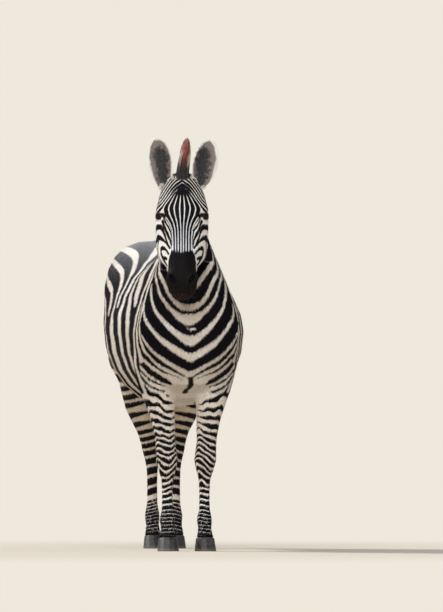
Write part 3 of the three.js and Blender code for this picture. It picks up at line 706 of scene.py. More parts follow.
# Forms of the body: x either side, distance behind the forelegs, height; spread; swelling.
BODY_FORMS = [
    (0.075, -0.215, 0.790, 0.050, 7.0),        # breast muscles
    (0.000, -0.215, 0.760, 0.022, -7.0),       # groove between them
    (0.165, -0.150, 0.900, 0.055, 5.0),        # point of the shoulder
    (0.215, 0.000, 0.960, 0.090, -4.0),        # hollow behind the shoulder blade
    (0.165, 0.035, 0.710, 0.045, 6.0),         # elbow
    (0.110, 0.060, 0.645, 0.030, -4.0),        # behind the elbow
    (0.215, 0.900, 0.800, 0.065, 6.0),         # stifle
    (0.230, 0.780, 1.130, 0.080, 4.0),         # point of the hip
    (0.215, 0.800, 0.960, 0.080, -4.0),        # flank
    (0.080, -0.035, 0.405, 0.026, 3.0),        # knee
    (0.100, 1.085, 0.440, 0.024, 3.0),         # hock
]
NOSTRIL_SIDE, NOSTRIL_DOWN = 0.040, 0.440
MOUTH_DOWN = 0.497


def gaze_axes(turn):
    """Directions at an eye: forward out of the socket, along the lids, and up."""
    forward = HEAD_SIDE * turn * 0.60 + HEAD_OUT * 0.79 + HEAD_DOWN * 0.08
    forward /= np.linalg.norm(forward)
    along = HEAD_SIDE * turn * -0.78 + HEAD_OUT * 0.50 + HEAD_DOWN * 0.36
    along -= forward * (along @ forward)
    along /= np.linalg.norm(along)
    up = np.cross(forward, along)
    up *= -np.sign(up @ HEAD_DOWN)
    return forward, along, up


def eye_opening(points, turn):
    """1 on the edge of the lids' almond opening, less inside it; and metres from the
    middle of the eye."""
    forward, along, up = gaze_axes(turn)
    local = points - EYE[turn]
    reach = np.linalg.norm(local, axis=1)
    ahead = local @ forward / np.maximum(reach, 1e-6)
    a = local @ along / np.maximum(reach, 1e-6)
    b = local @ up / np.maximum(reach, 1e-6)
    shape = np.sqrt((a / 0.70) ** 2 + (b / (0.44 * (1 - 0.45 * np.abs(a) ** 1.5))) ** 2)
    return np.where(ahead > 0, shape, 9.0), reach


def lid_darkness(points):
    """1 on the dark lids."""
    dark = np.zeros(len(points))
    for turn in (+1, -1):
        rim, reach = eye_opening(points, turn)
        dark = np.maximum(dark, smoothstep(1.75, 1.15, rim) * (reach < EYE_RADIUS + 8 * MM))
    return dark


def skin_marks(points):
    """All that skin and coat carry: the markings, with the lids darkened."""
    bands, shares, tone = markings(points)
    tone[:, 0] = np.maximum(tone[:, 0], lid_darkness(points))
    return {"bands": bands, "shares": shares, "tone": tone}


def nostril_reach(side, down):
    """1 on the edge of the comma-shaped nostril, less inside it."""
    lean = (np.abs(side) - NOSTRIL_SIDE) - 0.45 * (NOSTRIL_DOWN - down)
    return np.hypot(lean / 0.0085, (down - NOSTRIL_DOWN) / 0.019)


def shaped(mesh):
    """Works the forms of bone, muscle, lids, nostrils and lips into the skin."""
    points, normals = points_of(mesh), normals_of(mesh)
    side, down, out = in_head(points)
    x, aft, z = in_body(points)
    swell = np.zeros(len(points))
    ahead = smoothstep(-0.12, -0.06, out)
    for s, d, wide, tall, amount in HEAD_FORMS:
        near = np.exp(-((np.abs(side) - s) / wide) ** 2 - ((down - d) / tall) ** 2)
        swell += amount * MM * near * ahead * (down < 0.56) * (z > 1.0)
    for aside, behind, high, spread, amount in BODY_FORMS:
        far = (np.abs(x) - aside) ** 2 + (aft - behind) ** 2 + (z - high) ** 2
        swell += amount * MM * np.exp(-far / spread ** 2)

    # nostrils: pits with a raised rim
    pit = nostril_reach(side, down)
    on_nose = smoothstep(-0.075, -0.055, out)
    swell += on_nose * MM * (2.5 * np.exp(-((pit - 1.5) / 0.45) ** 2) - 13.0 * smoothstep(1.15, 0.55, pit))
    # mouth: a crease round the muzzle, the lower lip behind it
    crease = down - MOUTH_DOWN - 0.25 * np.minimum(out + 0.02, 0)
    lips = smoothstep(0.40, 0.45, down) * (z > 1.0) * (out > -0.15)
    swell += lips * MM * (1.2 * np.exp(-((crease - 0.010) / 0.006) ** 2)
                          + 1.2 * np.exp(-((crease + 0.010) / 0.006) ** 2)
                          - 4.5 * np.exp(-(crease / 0.0030) ** 2))
    points += normals * (swell - coat_depth(points) * 0.9)[:, None]

    for turn in (+1, -1):
        shape, reach = eye_opening(points, turn)
        lid = EYE_RADIUS + 1.8 * MM + 1.0 * MM * np.exp(-((shape - 1.25) / 0.25) ** 2)
        wanted = np.where(shape < 1.0, EYE_RADIUS - 3.5 * MM, lid)
        near = smoothstep(EYE_RADIUS + 9 * MM, EYE_RADIUS + 3 * MM, reach) * (shape < 2.6)
        near = np.maximum(near, (shape < 1.0) * (reach < EYE_RADIUS + 12 * MM))
        moved = reach + (wanted - reach) * near
        points = EYE[turn] + (points - EYE[turn]) * (moved / np.maximum(reach, 1e-6))[:, None]
    set_points(mesh, points)


def coat_depth(points):
    """How deep the coat lies over the skin, in metres."""
    _, down, out = in_head(points)
    head = smoothstep(-0.22, -0.16, out) * smoothstep(-0.05, 0.0, down) * (points[:, 2] > 1.0)
    legs = smoothstep(0.62, 0.50, points[:, 2])
    depth = 4.5 * MM - 2.0 * MM * legs
    depth = depth + (2.2 * MM - depth) * head
    bare = head * smoothstep(0.40, 0.47, down)
    return depth * (1 - 0.6 * bare)


def body_skin():
    lids = [(Vector(EYE[turn]), EYE_RADIUS + 2.5 * MM) for turn in (+1, -1)]
    shell = remeshed(joined_copy(FLESH, lids), VOXEL)
    bm = bmesh.new()
    bm.from_mesh(shell)
    largest_shell(bm)

    def on_head(centres):
        _, down, out = in_head(centres)
        return (down > -30 * MM) & (down < 560 * MM) & (out > -235 * MM) & (out < 80 * MM)

    def on_features(centres):
        _, down, out = in_head(centres)
        muzzle = (down > 0.395) & (down < 0.53) & (out > -0.11) & (centres[:, 2] > 1.0)
        eyes = [np.linalg.norm(centres - EYE[turn], axis=1) < 0.036 for turn in (+1, -1)]
        return muzzle | eyes[0] | eyes[1]

    refine(bm, on_head)
    refine(bm, on_features)
    mesh = mesh_from(bm, "skin")
    points = points_of(mesh)
    trunk = smoothstep(0.45, 0.75, points[:, 2]) * smoothstep(-0.62, -0.5, points[:, 1])
    smoothed(mesh, 22, 0.25 + 0.75 * trunk)
    shaped(mesh)
    return mesh


skin_mesh = body_skin()
skin_points = points_of(skin_mesh)
mark(skin_mesh, skin_marks(skin_points))
skin = piece("skin", skin_mesh)
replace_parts(skin, *FLESH)
skin_mesh.shade_smooth()
skin_mesh.materials.append(HAIR)


# ---- strands: tufts and locks -------------------------------------------------------
skin_normals = normals_of(skin_mesh)
corners = triangles_of(skin_mesh)
middles = skin_points[corners].mean(1)


def unit(vectors):
    return vectors / np.maximum(np.linalg.norm(vectors, axis=-1, keepdims=True), 1e-9)


def strands(name, material, root, bend, tip, width, across, rings, place, named):
    """One mesh of fine three-sided strands, each from `root` by way of `bend` to `tip`. Its
    patch in the OFBake map lies at `place`, its root's place on the unwrapped skin."""
    number, count = len(root), 3 * rings + 1
    points = np.empty((number, count, 3))
    for k in range(rings):
        t = k / rings
        centre = (1 - t) ** 2 * root + 2 * t * (1 - t) * bend + t * t * tip
        along = unit(2 * (1 - t) * (bend - root) + 2 * t * (tip - bend))
        out = np.cross(along, across)
        breadth = (width * (1 - 0.7 * t * t))[:, None]
        points[:, 3 * k] = centre - across * breadth / 2
        points[:, 3 * k + 1] = centre + across * breadth / 2
        points[:, 3 * k + 2] = centre + out * breadth * 0.42
    points[:, -1] = tip
    quads = [[3 * k + i, 3 * k + (i + 1) % 3, 3 * k + 3 + (i + 1) % 3, 3 * k + 3 + i]
             for k in range(rings - 1) for i in range(3)]
    ends = [[3 * rings - 3 + i, 3 * rings - 3 + (i + 1) % 3, 3 * rings] for i in range(3)]
    shape = np.array([v for face in quads + ends for v in face])
    starts = np.array([4 * i for i in range(len(quads))] + [4 * len(quads) + 3 * i for i in range(3)])
    step = len(shape)
    mesh = bpy.data.meshes.new(name)
    mesh.vertices.add(number * count)
    mesh.vertices.foreach_set("co", points.astype(np.float32).ravel())
    mesh.loops.add(number * step)
    loops = (shape[None, :] + count * np.arange(number)[:, None]).ravel()
    mesh.loops.foreach_set("vertex_index", loops.astype(np.int32))
    mesh.polygons.add(number * len(starts))
    mesh.polygons.foreach_set("loop_start", (starts[None, :] + step * np.arange(number)[:, None])
                              .ravel().astype(np.int32))
    mesh.update(calc_edges=True)
    level, corner = np.minimum(shape // 3, rings), shape % 3
    patch = np.stack([corner * 0.0015, level / rings * 0.003], axis=1)
    patch[shape == 3 * rings] = [0.0015, 0.003]
    spots = (place[:, None, :] + patch[None, :, :]).reshape(-1, 2)
    mesh.uv_layers.new(name="OFBake").data.foreach_set("uv", spots.astype(np.float32).ravel())
    mark(mesh, {key: along_strand(rows, rings) for key, rows in named.items()})
    mesh.shade_smooth()
    mesh.materials.append(material)
    return piece(name, mesh)


def along_strand(rows, rings):
    """Spreads values over a strand's points: one row a strand, or one a ring and one for
    the tip."""
    if rows.ndim == 2:
        return np.repeat(rows, 3 * rings + 1, axis=0)
    return np.concatenate([np.repeat(rows[:, :rings], 3, axis=1), rows[:, rings:]], axis=1).reshape(-1, 3)


def scatter(chosen, weight, number, seed):
    """Evenly strewn places on the chosen triangles of the skin: points and normals."""
    draw = np.random.default_rng(seed)
    faces = corners[chosen]
    a, b, c = (skin_points[faces[:, i]] for i in range(3))
    area = np.linalg.norm(np.cross(b - a, c - a), axis=1) * weight[chosen]
    total = np.cumsum(area)
    aim = (np.arange(number) + draw.uniform(0, 1, number)) / number * total[-1]
    face = np.minimum(np.searchsorted(total, aim), len(faces) - 1)
    u, v = draw.uniform(0, 1, (2, number))
    flip = u + v > 1
    u, v = np.where(flip, 1 - u, u), np.where(flip, 1 - v, v)
    share = np.stack([1 - u - v, u, v], axis=1)[:, :, None]
    spots = (skin_points[faces[face]] * share).sum(1)
    return spots, unit((skin_normals[faces[face]] * share).sum(1))


def hair_way(points):
    """The way the hair lies: down the face, back along neck and barrel, down the legs."""
    side, _, out = in_head(points)
    _, aft, z = in_body(points)
    face = (smoothstep(-0.22, -0.17, out) * (z > 1.0))[:, None]
    legs = smoothstep(0.78, 0.62, z)[:, None]
    neck = smoothstep(-0.02, -0.15, aft)[:, None]
    way = np.array([0, 0.85, -0.45]) * (1 - neck) + np.array([0, 0.45, -0.85]) * neck
    way = way * (1 - legs) + np.array([0, 0.12, -1.0]) * legs
    behind = smoothstep(1.0, 1.10, aft)[:, None] * (1 - legs)
    way = way * (1 - behind) + np.array([0, 0.2, -1.0]) * behind
    cheek = smoothstep(-0.05, -0.12, out)[:, None]
    muzzle_way = HEAD_DOWN * (1 - 0.6 * cheek) - HEAD_OUT * (0.15 + 0.7 * cheek)
    muzzle_way = muzzle_way + HEAD_SIDE * np.sign(side)[:, None] * 0.25
    return way * (1 - face) + muzzle_way * face


def laid(normals, way, turned):
    """Unit directions in the surface, `way` turned by so many radians."""
    flat = unit(way - normals * (way * normals).sum(1, keepdims=True))
    sideways = np.cross(normals, flat)
    return flat * np.cos(turned)[:, None] + sideways * np.sin(turned)[:, None]


def hair_length(points):
    _, down, out = in_head(points)
    z = points[:, 2]
    face = smoothstep(-0.22, -0.17, out) * (z > 1.0)
    legs = smoothstep(0.75, 0.50, z)
    length = 11.0 * MM - 2.5 * MM * legs + 3.0 * MM * smoothstep(0.16, 0.10, z)
    on_face = np.interp(down, [0.0, 0.10, 0.30, 0.42, 0.52], [9.0, 6.5, 6.0, 3.6, 3.0]) * MM
    on_face = on_face + 2.5 * MM * smoothstep(-0.06, -0.14, out)
    return length * (1 - face) + on_face * face


def coat(name, chosen, number, place, seed):
    """Tufts of short hair over part of the skin."""
    spots, normals = scatter(chosen, 1 / hair_length(middles) ** 1.6, number, seed)
    draw = np.random.default_rng(seed + 100)
    length = hair_length(spots) * draw.uniform(0.75, 1.25, number)
    along = laid(normals, hair_way(spots), draw.normal(0, 0.16, number))
    across = np.cross(normals, along)
    lift = draw.uniform(0.07, 0.18, number)[:, None]
    root = spots - normals * 0.8 * MM
    bend = spots + (along * 0.45 + normals * lift * 1.1) * length[:, None]
    tip = spots + (along * 0.97 + normals * lift) * length[:, None]
    marks = skin_marks(spots)
    marks["tone"][:, 1] += draw.normal(0, 0.10, number)
    strands(name, HAIR, root, bend, tip, length * 0.21, across, 2, place(spots), marks)


def round_axis(points, centre, first, second, along, low, high, left=0.0, right=0.997):
    """Unwraps places round an axis: the turn runs across the map, the axis up it."""
    local = points - centre
    turn = np.arctan2(local @ first, local @ second) / (2 * math.pi) + 0.5
    up = np.clip((local @ along - low) / (high - low), 0, 1)
    return np.stack([left + (right - left) * turn, 0.997 * up], axis=1)


def regions(points):
    """The name of the coat piece that each place belongs to."""
    x, aft, z = in_body(points)
    _, down, out = in_head(points)
    region = np.full(len(points), "barrel", dtype="<U12")
    region[aft < 0.14] = "shoulders"
    region[aft > 0.62] = "rump"
    region[(aft < -0.02) & (z > 1.0)] = "neck"
    region[(z < 0.66) & (aft < 0.35)] = "fore_legs"
    region[(z < 0.70) & (aft > 0.62)] = "hind_legs"
    region[(z > 0.48) & (aft > 1.07) & (np.abs(x) < 0.05)] = "rump"
    region[(out > head_edge(down) - 0.01) & (down > -0.03) & (down < 0.56) & (z > 0.95)] = "head"
    paired = np.isin(region, ["shoulders", "barrel", "rump"])
    return np.where(paired, np.char.add(region, np.where(x > 0, "_left", "_right")), region)


def hairless(points):
    """True between the lids, in the nostrils and at the coronets."""
    side, down, out = in_head(points)
    found = (points[:, 2] < 0.045) | ((nostril_reach(side, down) < 1.5) & (out > -0.075))
    for turn in (+1, -1):
        rim, reach = eye_opening(points, turn)
        found |= (rim < 1.25) & (reach < EYE_RADIUS + 10 * MM)
    return found


X, Y, Z = np.eye(3)
TRUNK = np.array([0, FORE_LINE, 0.95])
LEG_LEFT, LEG_RIGHT = middle("cannon_fore_left"), middle("cannon_fore_right")


def head_map(points):
    return round_axis(points, POLL - 0.08 * HEAD_OUT, HEAD_SIDE, HEAD_OUT, HEAD_DOWN, -0.05, 0.56)


def trunk_map(points):
    return round_axis(points, TRUNK, X, Z, Y, -0.5, 1.3)


def neck_map(points):
    return round_axis(points, TRUNK + np.array([0, -0.12, 0]), X, Y, Z, -0.35, 0.75)


def leg_map(points):
    left = points[:, 0] > 0.5 * (LEG_LEFT[0] + LEG_RIGHT[0])
    both = [round_axis(points, np.array([leg[0], np.mean(points[:, 1]), 0]), X, Y, Z, 0, 0.75, *span)
            for leg, span in ((LEG_LEFT, (0.0, 0.495)), (LEG_RIGHT, (0.5, 0.995)))]
    return np.where(left[:, None], both[0], both[1])


TUFTS = 15000                                  # in each piece of the coat
MAPS = {"head": head_map, "neck": neck_map, "shoulders_left": trunk_map, "shoulders_right": trunk_map,
        "barrel_left": trunk_map, "barrel_right": trunk_map, "rump_left": trunk_map,
        "rump_right": trunk_map, "fore_legs": leg_map, "hind_legs": leg_map}
bare = hairless(middles)
in_region = regions(middles)
for index, (region, place) in enumerate(MAPS.items()):
    coat("coat_" + region, (in_region == region) & ~bare, TUFTS, place, SEED + index)


# ---- eyes ---------------------------------------------------------------------------
def eyeball(name, turn):
    """A ball with a slightly bulging cornea, its axes kept in `gaze`."""
    forward, along, up = gaze_axes(turn)
    bm = bmesh.new()
    bmesh.ops.create_uvsphere(bm, u_segments=40, v_segments=28, radius=1.0)
    mesh = mesh_from(bm, name)
    ball = points_of(mesh)
    cornea = 1 + 0.05 * smoothstep(0.70, 0.95, ball[:, 2])
    local = ball * cornea[:, None] * (EYE_RADIUS * 0.985)
    set_points(mesh, EYE[turn] + local[:, :1] * along + local[:, 1:2] * up + local[:, 2:] * forward)
    mark(mesh, {"gaze": ball})
    if np.linalg.det(np.stack([along, up, forward])) < 0:
        mesh.flip_normals()
    mesh.shade_smooth()
    mesh.materials.append(WET)
    eye = piece(name, mesh)
    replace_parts(eye, "eye_left" if turn > 0 else "eye_right")


eyeball("eyeball_left", +1)
eyeball("eyeball_right", -1)


def locks(name, root, tip, hang, width, rings, tone, sideways=None):
    """Long hairs from root to tip that bow by `hang`, flat across `sideways`."""
    along = unit(tip - root)
    across = unit(np.cross(along, [0.0, 1.0, 0.05]) if sideways is None else sideways)
    across = unit(across - along * (across * along).sum(1, keepdims=True))
    bend = (root + tip) / 2 + hang
    low, high = root.min(0), root.max(0)
    spread = (root - low) / np.maximum(high - low, 1e-6)
    flat = np.argsort(-(high - low))[:2]
    return strands(name, MANE_HAIR, root, bend, tip, np.full(len(root), width), across,
                   rings, 0.997 * spread[:, flat], {"tone": tone})


def lashes(name, turn):
    """Lashes along the upper lid, longest over the middle of the eye."""
    forward, along, up = gaze_axes(turn)
    number = 46
    draw = np.random.default_rng(SEED + 31 + turn)
    t = np.linspace(-1, 1, number) + draw.normal(0, 0.02, number)
    a = (0.66 * t)[:, None]
    b = (0.40 * np.sqrt(np.maximum(1 - t * t, 0.02)) * (1 - 0.3 * np.abs(t)))[:, None]
    spot = unit(along * a + up * b + forward * np.sqrt(np.maximum(1 - a * a - b * b, 0)))
    root = EYE[turn] + spot * (EYE_RADIUS + 1.2 * MM)
    reach = (13 * MM * (1 - 0.5 * np.abs(t)) * draw.uniform(0.8, 1.15, number))[:, None]
    tip = root + (forward * 0.80 + up * 0.12 + along * (0.35 * t)[:, None]) * reach
    tone = np.tile([1.0, 0.0, 0.5], (number, 1))
    locks(name, root, tip, up * 2.0 * MM, 1.1 * MM, 3, tone)


lashes("lashes_left", +1)
lashes("lashes_right", -1)


def whiskers():
    """Thin stiff whiskers on the lips and chin."""
    _, down, out = in_head(middles)
    near = (down > 0.455) & (down < 0.53) & (out > -0.12) & (middles[:, 2] > 1.0) & ~bare
    number = 60
    draw = np.random.default_rng(SEED + 81)
    root, normals = scatter(near, np.ones(len(corners)), number, SEED + 82)
    way = unit(normals + HEAD_DOWN * 0.5 + draw.normal(0, 0.25, (number, 3)))
    tip = root + way * (draw.uniform(12, 26, number) * MM)[:, None]
    tone = np.tile([1.0, 0.0, 0.5], (number, 1))
    locks("whiskers", root, tip, HEAD_DOWN * 2 * MM, 0.6 * MM, 3, tone)


whiskers()


# ---- ears ---------------------------------------------------------------------------
def ear_tone(points, normals, low, high, turn):
    """How dark each point is, how cream, and whether it is inside the cup. `low` and `high`
    are the corners of the ear's box."""
    up = (points[:, 2] - low[2]) / (high[2] - low[2])
    middle_x = (low[0] + high[0]) / 2 + turn * np.interp(up, [0, 1], [-0.018, 0.004])
    half = 0.5 * (high[0] - low[0]) * np.interp(up, [0, 0.2, 0.6, 0.85, 1.0], [0.45, 0.75, 1.0, 0.72, 0.15])
    aside = (points[:, 0] - middle_x) / half
    inside = smoothstep(-0.15, 0.35, -normals[:, 1])
    rim = smoothstep(0.80, 0.90, np.maximum(np.abs(aside), (up - 0.5) / 0.525))
    dark = np.exp(-((aside + 0.1 * turn) / 0.66) ** 2) * smoothstep(0.95, 0.70, up) + 0.05
    back = np.maximum(smoothstep(0.50, 0.56, up) * smoothstep(0.84, 0.78, up), smoothstep(0.22, 0.16, up))
    back = back * smoothstep(0.88, 0.68, np.abs(aside)) * smoothstep(0.1, 0.5, normals[:, 1])
    cream = inside * rim + (1 - inside) * (1 - back)
    dark = inside * dark + (1 - inside) * back
    return np.stack([dark, np.clip(cream, 0, 1), inside], axis=1)


def ear_fur(name, points, normals, faces, tone, low, high, turn):
    """Short fur all over an ear: it lies upwards, and inside the cup towards the middle."""
    number = 5200
    draw = np.random.default_rng(SEED + 41 + turn)
    a, b, c = (points[faces[:, i]] for i in range(3))
    total = np.cumsum(np.linalg.norm(np.cross(b - a, c - a), axis=1))
    aim = (np.arange(number) + draw.uniform(0, 1, number)) / number * total[-1] * 0.9999
    at = faces[np.searchsorted(total, aim)]
    spots, facing = points[at].mean(1), unit(normals[at].mean(1))
    spots = spots + 0.5 * (points[at[:, 0]] - points[at[:, 1]]) * draw.uniform(-1, 1, number)[:, None]
    marks = tone[at].mean(1)
    edge = marks[:, 1] * marks[:, 2]
    length = (5.5 + 1.0 * edge) * MM * draw.uniform(0.7, 1.2, number)
    way = np.tile([-0.3 * turn, 0, 1.0], (number, 1))
    way[:, 0] += ((low[0] + high[0]) / 2 - spots[:, 0]) * 14 * marks[:, 2]
    lie = laid(facing, way, draw.normal(0, 0.3, number))
    lift = draw.uniform(0.15, 0.35, number)[:, None]
    tip = spots + (lie * 0.95 + facing * lift) * length[:, None]
    bend = spots + (lie * 0.45 + facing * lift * 1.1) * length[:, None]
    spread = (spots - low) / (high - low)
    across = 0.25 + 0.48 * (spread[:, 0] - 0.5) + 0.5 * (facing[:, 1] > 0)
    place = np.stack([across, spread[:, 2]], axis=1)
    strands(name, EAR_FELT, spots - facing * 0.5 * MM, bend, tip, length * 0.22,
            np.cross(facing, lie), 2, 0.997 * np.clip(place, 0, 1), {"tone": marks})


def ear(name, solid, turn):
    """An ear's cup as one felted skin, and the fur on it."""
    low, high = corners_of(solid)
    shell = remeshed(joined_copy([solid]), 2.6 * MM)
    smoothed(shell, 6, np.full(len(shell.vertices), 0.8))
    normals = normals_of(shell)
    points = points_of(shell) - normals * 1.2 * MM
    set_points(shell, points)
    tone = ear_tone(points, normals, low, high, turn)
    mark(shell, {"tone": tone})
    shell.name = name
    shell.shade_smooth()
    shell.materials.append(EAR_FELT)
    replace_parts(piece(name, shell), solid)
    ear_fur(name + "_fur", points, normals, triangles_of(shell), tone, low, high, turn)


ear("ear_cup_left", "ear_left", +1)
ear("ear_cup_right", "ear_right", -1)


# ---- mane and tail ------------------------------------------------------------------
# The mane's line, withers to forelock: x and y of the roots, then x, y and z of the tips.
MANE_LINE = np.array([
    (0, -288, 0, -278, 1312), (0, -342, 0, -316, 1368), (-1, -402, -1, -362, 1432),
    (-4, -452, -4, -404, 1503), (-9, -498, -9, -446, 1566), (-17, -542, -18, -490, 1622),
    (-27, -574, -23, -532, 1666), (-35, -597, -25, -568, 1698), (-40, -614, -21, -596, 1714),
    (-42, -630, -17, -618, 1720), (-42, -643, -20, -632, 1712), (-42, -653, -30, -644, 1660),
]) * MM
skin_tree = BVHTree.FromPolygons(skin_points.tolist(), corners.tolist())


def on_skin(x, y):
    """Points of the skin straight under a place above the animal."""
    found = [skin_tree.ray_cast(Vector((a, b, 2.2)), Vector((0, 0, -1)))[0] for a, b in zip(x, y)]
    return np.array([(a, b, 1.5) if hit is None else tuple(hit) for hit, a, b in zip(found, x, y)])


def mane():
    """Upright locks along the crest: banded like the neck, black and rusty at the brow."""
    number, rings = 6800, 5
    draw = np.random.default_rng(SEED + 51)
    place = draw.uniform(0, 1, number) ** 0.85 * (len(MANE_LINE) - 1)
    root_x, root_y, tip_x, tip_y, tip_z = (np.interp(place, np.arange(len(MANE_LINE)), column)
                                           for column in MANE_LINE.T)
    brow = smoothstep(7.0, 9.5, place)
    ends = np.interp(place, [0, 1.5, 10, 11], [0.5, 1, 1, 0.75])
    aside = np.clip(draw.normal(0, 0.48, number), -1, 1)
    root_y = root_y + draw.normal(0, 0.004, number)
    root = on_skin(root_x + aside * (0.016 + 0.008 * brow) * ends, root_y) - [0, 0, 2 * MM]
    tall = draw.uniform(0.84, 1.0, number) * (1 - 0.14 * aside ** 2)
    tip = np.stack([tip_x + aside * 0.011 + draw.normal(0, 0.0025, number),
                    tip_y + draw.normal(0, 0.007, number),
                    root[:, 2] + np.maximum(tip_z - root[:, 2], 0.012) * tall], axis=1)
    hang = np.zeros((number, 3))
    hang[:, 0] = aside * (0.004 + 0.004 * brow) - 0.004 * brow
    hang[:, 1] = draw.normal(0, 0.003, number)
    banded = smoothstep(-0.15, 0.15, blackness(root))
    edge = smoothstep(0.65, 0.9, np.abs(aside)) * brow
    own = draw.uniform(0, 1, number)
    rows = np.zeros((number, rings + 1, 3))
    for k in range(rings + 1):
        t = k / rings
        high = root[:, 2] + (tip[:, 2] - root[:, 2]) * t
        rusty = brow * smoothstep(1.590, 1.650, high + 0.02 * (own - 0.5))
        dark_tip = (1 - brow) * smoothstep(0.62, 0.95, t + 0.25 * (own - 0.5))
        light_edge = edge * (own > 0.45) * smoothstep(0.40, 0.65, t)
        rows[:, k, 0] = np.maximum(banded * (1 - brow) + brow, dark_tip) * (1 - light_edge)
        rows[:, k, 1] = np.maximum(rusty * (1 - light_edge), 0.35 * dark_tip)
        rows[:, k, 2] = own
    hair = locks("mane_locks", root, tip, hang, 3.2 * MM, rings, rows)
    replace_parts(hair, "mane")


def poll_hair():
    """Short hair fanning out on the crown between the ears."""
    number = 1500
    draw = np.random.default_rng(SEED + 55)
    aside = draw.uniform(-1, 1, number)
    root = on_skin(-0.042 + aside * 0.040, draw.uniform(-0.648, -0.590, number)) - [0, 0, 1.5 * MM]
    length = draw.uniform(8, 18, number) * MM
    way = unit(np.stack([aside * 0.75 + draw.normal(0, 0.1, number), draw.normal(-0.1, 0.15, number),
                         np.full(number, 0.85)], axis=1))
    tip = root + way * length[:, None]
    dark = smoothstep(-0.15, 0.15, blackness(root) + 0.2)
    dark = np.where(np.abs(aside) > 0.72, dark * 0.3, np.where(np.abs(aside) < 0.55, 1.0, dark))
    rows = np.stack([dark, np.zeros(number), draw.uniform(0, 1, number)], axis=1)
    locks("poll_locks", root, tip, way * 2 * MM, 2.4 * MM, 3, rows)


def ear_base_hair(name, solid, turn):
    """Pale wisps that spill from the outer base of an ear onto the head."""
    low, high = corners_of(solid)
    spot = np.array([(low[0] + high[0]) / 2 + turn * 0.012, (low[1] + high[1]) / 2, low[2] + 0.012])
    near = np.linalg.norm(middles - spot, axis=1) < 0.034
    number = 280
    draw = np.random.default_rng(SEED + 71 + turn)
    root, normals = scatter(near, np.ones(len(corners)), number, SEED + 73 + turn)
    way = unit(normals * 0.35 + np.array([turn * 0.55, -0.15, 0.35]) + draw.normal(0, 0.16, (number, 3)))
    tip = root + way * (draw.uniform(9, 20, number) * MM)[:, None]
    rows = np.stack([np.where(draw.uniform(0, 1, number) > 0.82, 0.8, 0.0), np.zeros(number),
                     draw.uniform(0.3, 1, number)], axis=1)
    locks(name, root, tip, np.array([0, 0, 3 * MM]), 1.8 * MM, 3, rows)


mane()
poll_hair()
ear_base_hair("ear_wisps_left", "ear_left", +1)
ear_base_hair("ear_wisps_right", "ear_right", -1)


def tail_tuft():
    """The hanging tuft at the end of the tail."""
    low, high = corners_of("tail_tuft")
    number = 1500
    draw = np.random.default_rng(SEED + 61)
    turn = draw.uniform(0, 2 * math.pi, number)
    ring = np.sqrt(draw.uniform(0, 1, number))
    centre = (low + high) / 2
    drop = draw.uniform(0, 1, number) ** 1.5 * 0.12
    root = np.stack([centre[0] + 0.013 * ring * np.cos(turn), centre[1] + 0.013 * ring * np.sin(turn),
                     high[2] + 0.015 - drop], axis=1)
    bottom = low[2] + 0.004 + 0.10 * draw.uniform(0, 1, number) ** 2
    tip = np.stack([centre[0] + 0.022 * ring * np.cos(turn) + draw.normal(0, 0.004, number),
                    centre[1] + 0.022 * ring * np.sin(turn) + draw.normal(0, 0.004, number), bottom], axis=1)
    swell = np.stack([np.cos(turn), np.sin(turn), np.zeros(number)], axis=1) * (0.012 * ring)[:, None]
    black = smoothstep(0.15, 0.35, draw.uniform(0, 1, number))
    tone = np.stack([black, 0.25 * draw.uniform(0, 1, number), draw.uniform(0, 1, number)], axis=1)
    round_tail = np.stack([-np.sin(turn), np.cos(turn), np.zeros(number)], axis=1)
    tuft = locks("tail_locks", root, tip, swell, 3.6 * MM, 5, tone, round_tail)
    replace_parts(tuft, "tail_tuft")


tail_tuft()


# ---- hooves -------------------------------------------------------------------------
def hoof(solid):
    """A horn wall with an eased coronet and a flat sole."""
    shell = remeshed(joined_copy([solid]), 3 * MM)
    smoothed(shell, 5, np.full(len(shell.vertices), 0.7))
    points = points_of(shell)
    points[:, 2] = np.where(points[:, 2] < 2.2 * MM, 0.0, points[:, 2])
    set_points(shell, points)
    shell.shade_smooth()
    shell.materials.append(HORN)
    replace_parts(piece(solid + "_horn", shell), solid)


for solid in sorted(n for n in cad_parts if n.startswith("hoof_")):
    hoof(solid)


# ---- floor, light and camera --------------------------------------------------------
BACKGROUND = linear("#EFE8DC")


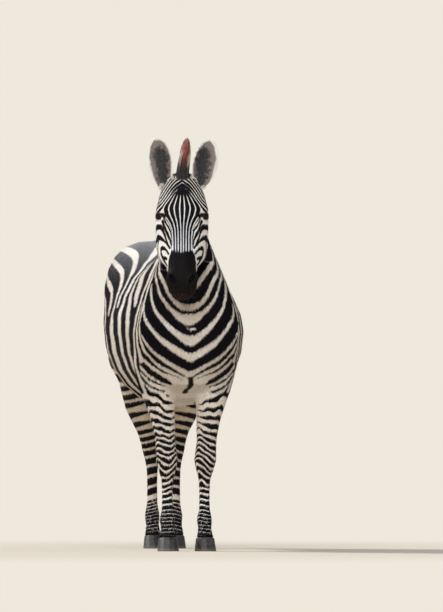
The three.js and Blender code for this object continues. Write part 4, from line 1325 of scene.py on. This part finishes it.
def studio():
    """A pale round floor that fades into the background, a soft light from high behind and
    one from in front, and a fill that grades from warm below to cool above."""
    bm = bmesh.new()
    bmesh.ops.create_circle(bm, cap_ends=True, segments=96, radius=5.0)
    floor = bpy.data.objects.new("floor", mesh_from(bm, "floor"))
    bpy.context.scene.collection.objects.link(floor)
    material, add, place = new_material("painted_floor")
    reach = add("VectorMath", [place], operation="LENGTH")["Value"]
    fade = add("MapRange", [reach, 1.6, 4.6], interpolation_type="SMOOTHSTEP")[0]
    paint = add("BsdfDiffuse", {"Color": linear("#C3B9A9")})[0]
    glow = add("Emission", {"Color": BACKGROUND, "Strength": 1.0})[0]
    mixed = add("MixShader", [fade, paint, glow])[0]
    add("OutputMaterial", {"Surface": mixed})
    floor.data.materials.append(material)

    world = bpy.data.worlds.new("studio")
    bpy.context.scene.world = world
    world.use_nodes = True
    world.node_tree.nodes.clear()
    add = partial(node, world.node_tree)
    ray = add("LightPath")["Is Camera Ray"]
    _, _, high = add("SeparateXYZ", [add("TexCoord")["Generated"]])
    grade = add("MapRange", [high, -0.4, 0.6], interpolation_type="SMOOTHSTEP")[0]
    sky = add("Mix", {0: grade, 6: linear("#F3E2CC"), 7: linear("#D9E4F6")}, data_type="RGBA")[2]
    fill = add("Background", {"Color": sky, "Strength": 0.62})[0]
    seen = add("Background", {"Color": BACKGROUND, "Strength": 1.0})[0]
    both = add("MixShader", [ray, fill, seen])[0]
    add("OutputWorld", {"Surface": both})

    for name, turn, strength, softness in (("high_light", (-22, -42, 0), 3.0, 12),
                                           ("front_light", (60, 0, -14), 2.1, 40)):
        lamp = bpy.data.lights.new(name, "SUN")
        lamp.energy = strength
        lamp.angle = math.radians(softness)
        holder = bpy.data.objects.new(name, lamp)
        holder.rotation_euler = [math.radians(a) for a in turn]
        bpy.context.scene.collection.objects.link(holder)


def place_camera():
    """A long lens far off, low, a little to the animal's right."""
    azimuth = math.radians(-6.2)
    distance = 42.0
    right = Vector((math.cos(azimuth), math.sin(azimuth), 0))
    base = Vector((0, FORE_LINE + 0.007, 0))
    aim = base + 0.152 * right + Vector((0, 0, 1.021))
    lens = bpy.data.cameras.new("camera")
    lens.sensor_width = 36
    lens.lens = 593
    lens.clip_end = 200
    camera = bpy.data.objects.new("camera", lens)
    stand = base + Vector((math.sin(azimuth), -math.cos(azimuth), 0)) * distance
    camera.location = stand + Vector((0, 0, 0.5))
    camera.rotation_euler = (aim - camera.location).to_track_quat("-Z", "Y").to_euler()
    bpy.context.scene.collection.objects.link(camera)
    bpy.context.scene.camera = camera


studio()
place_camera()
bpy.context.scene.view_settings.view_transform = "Standard"
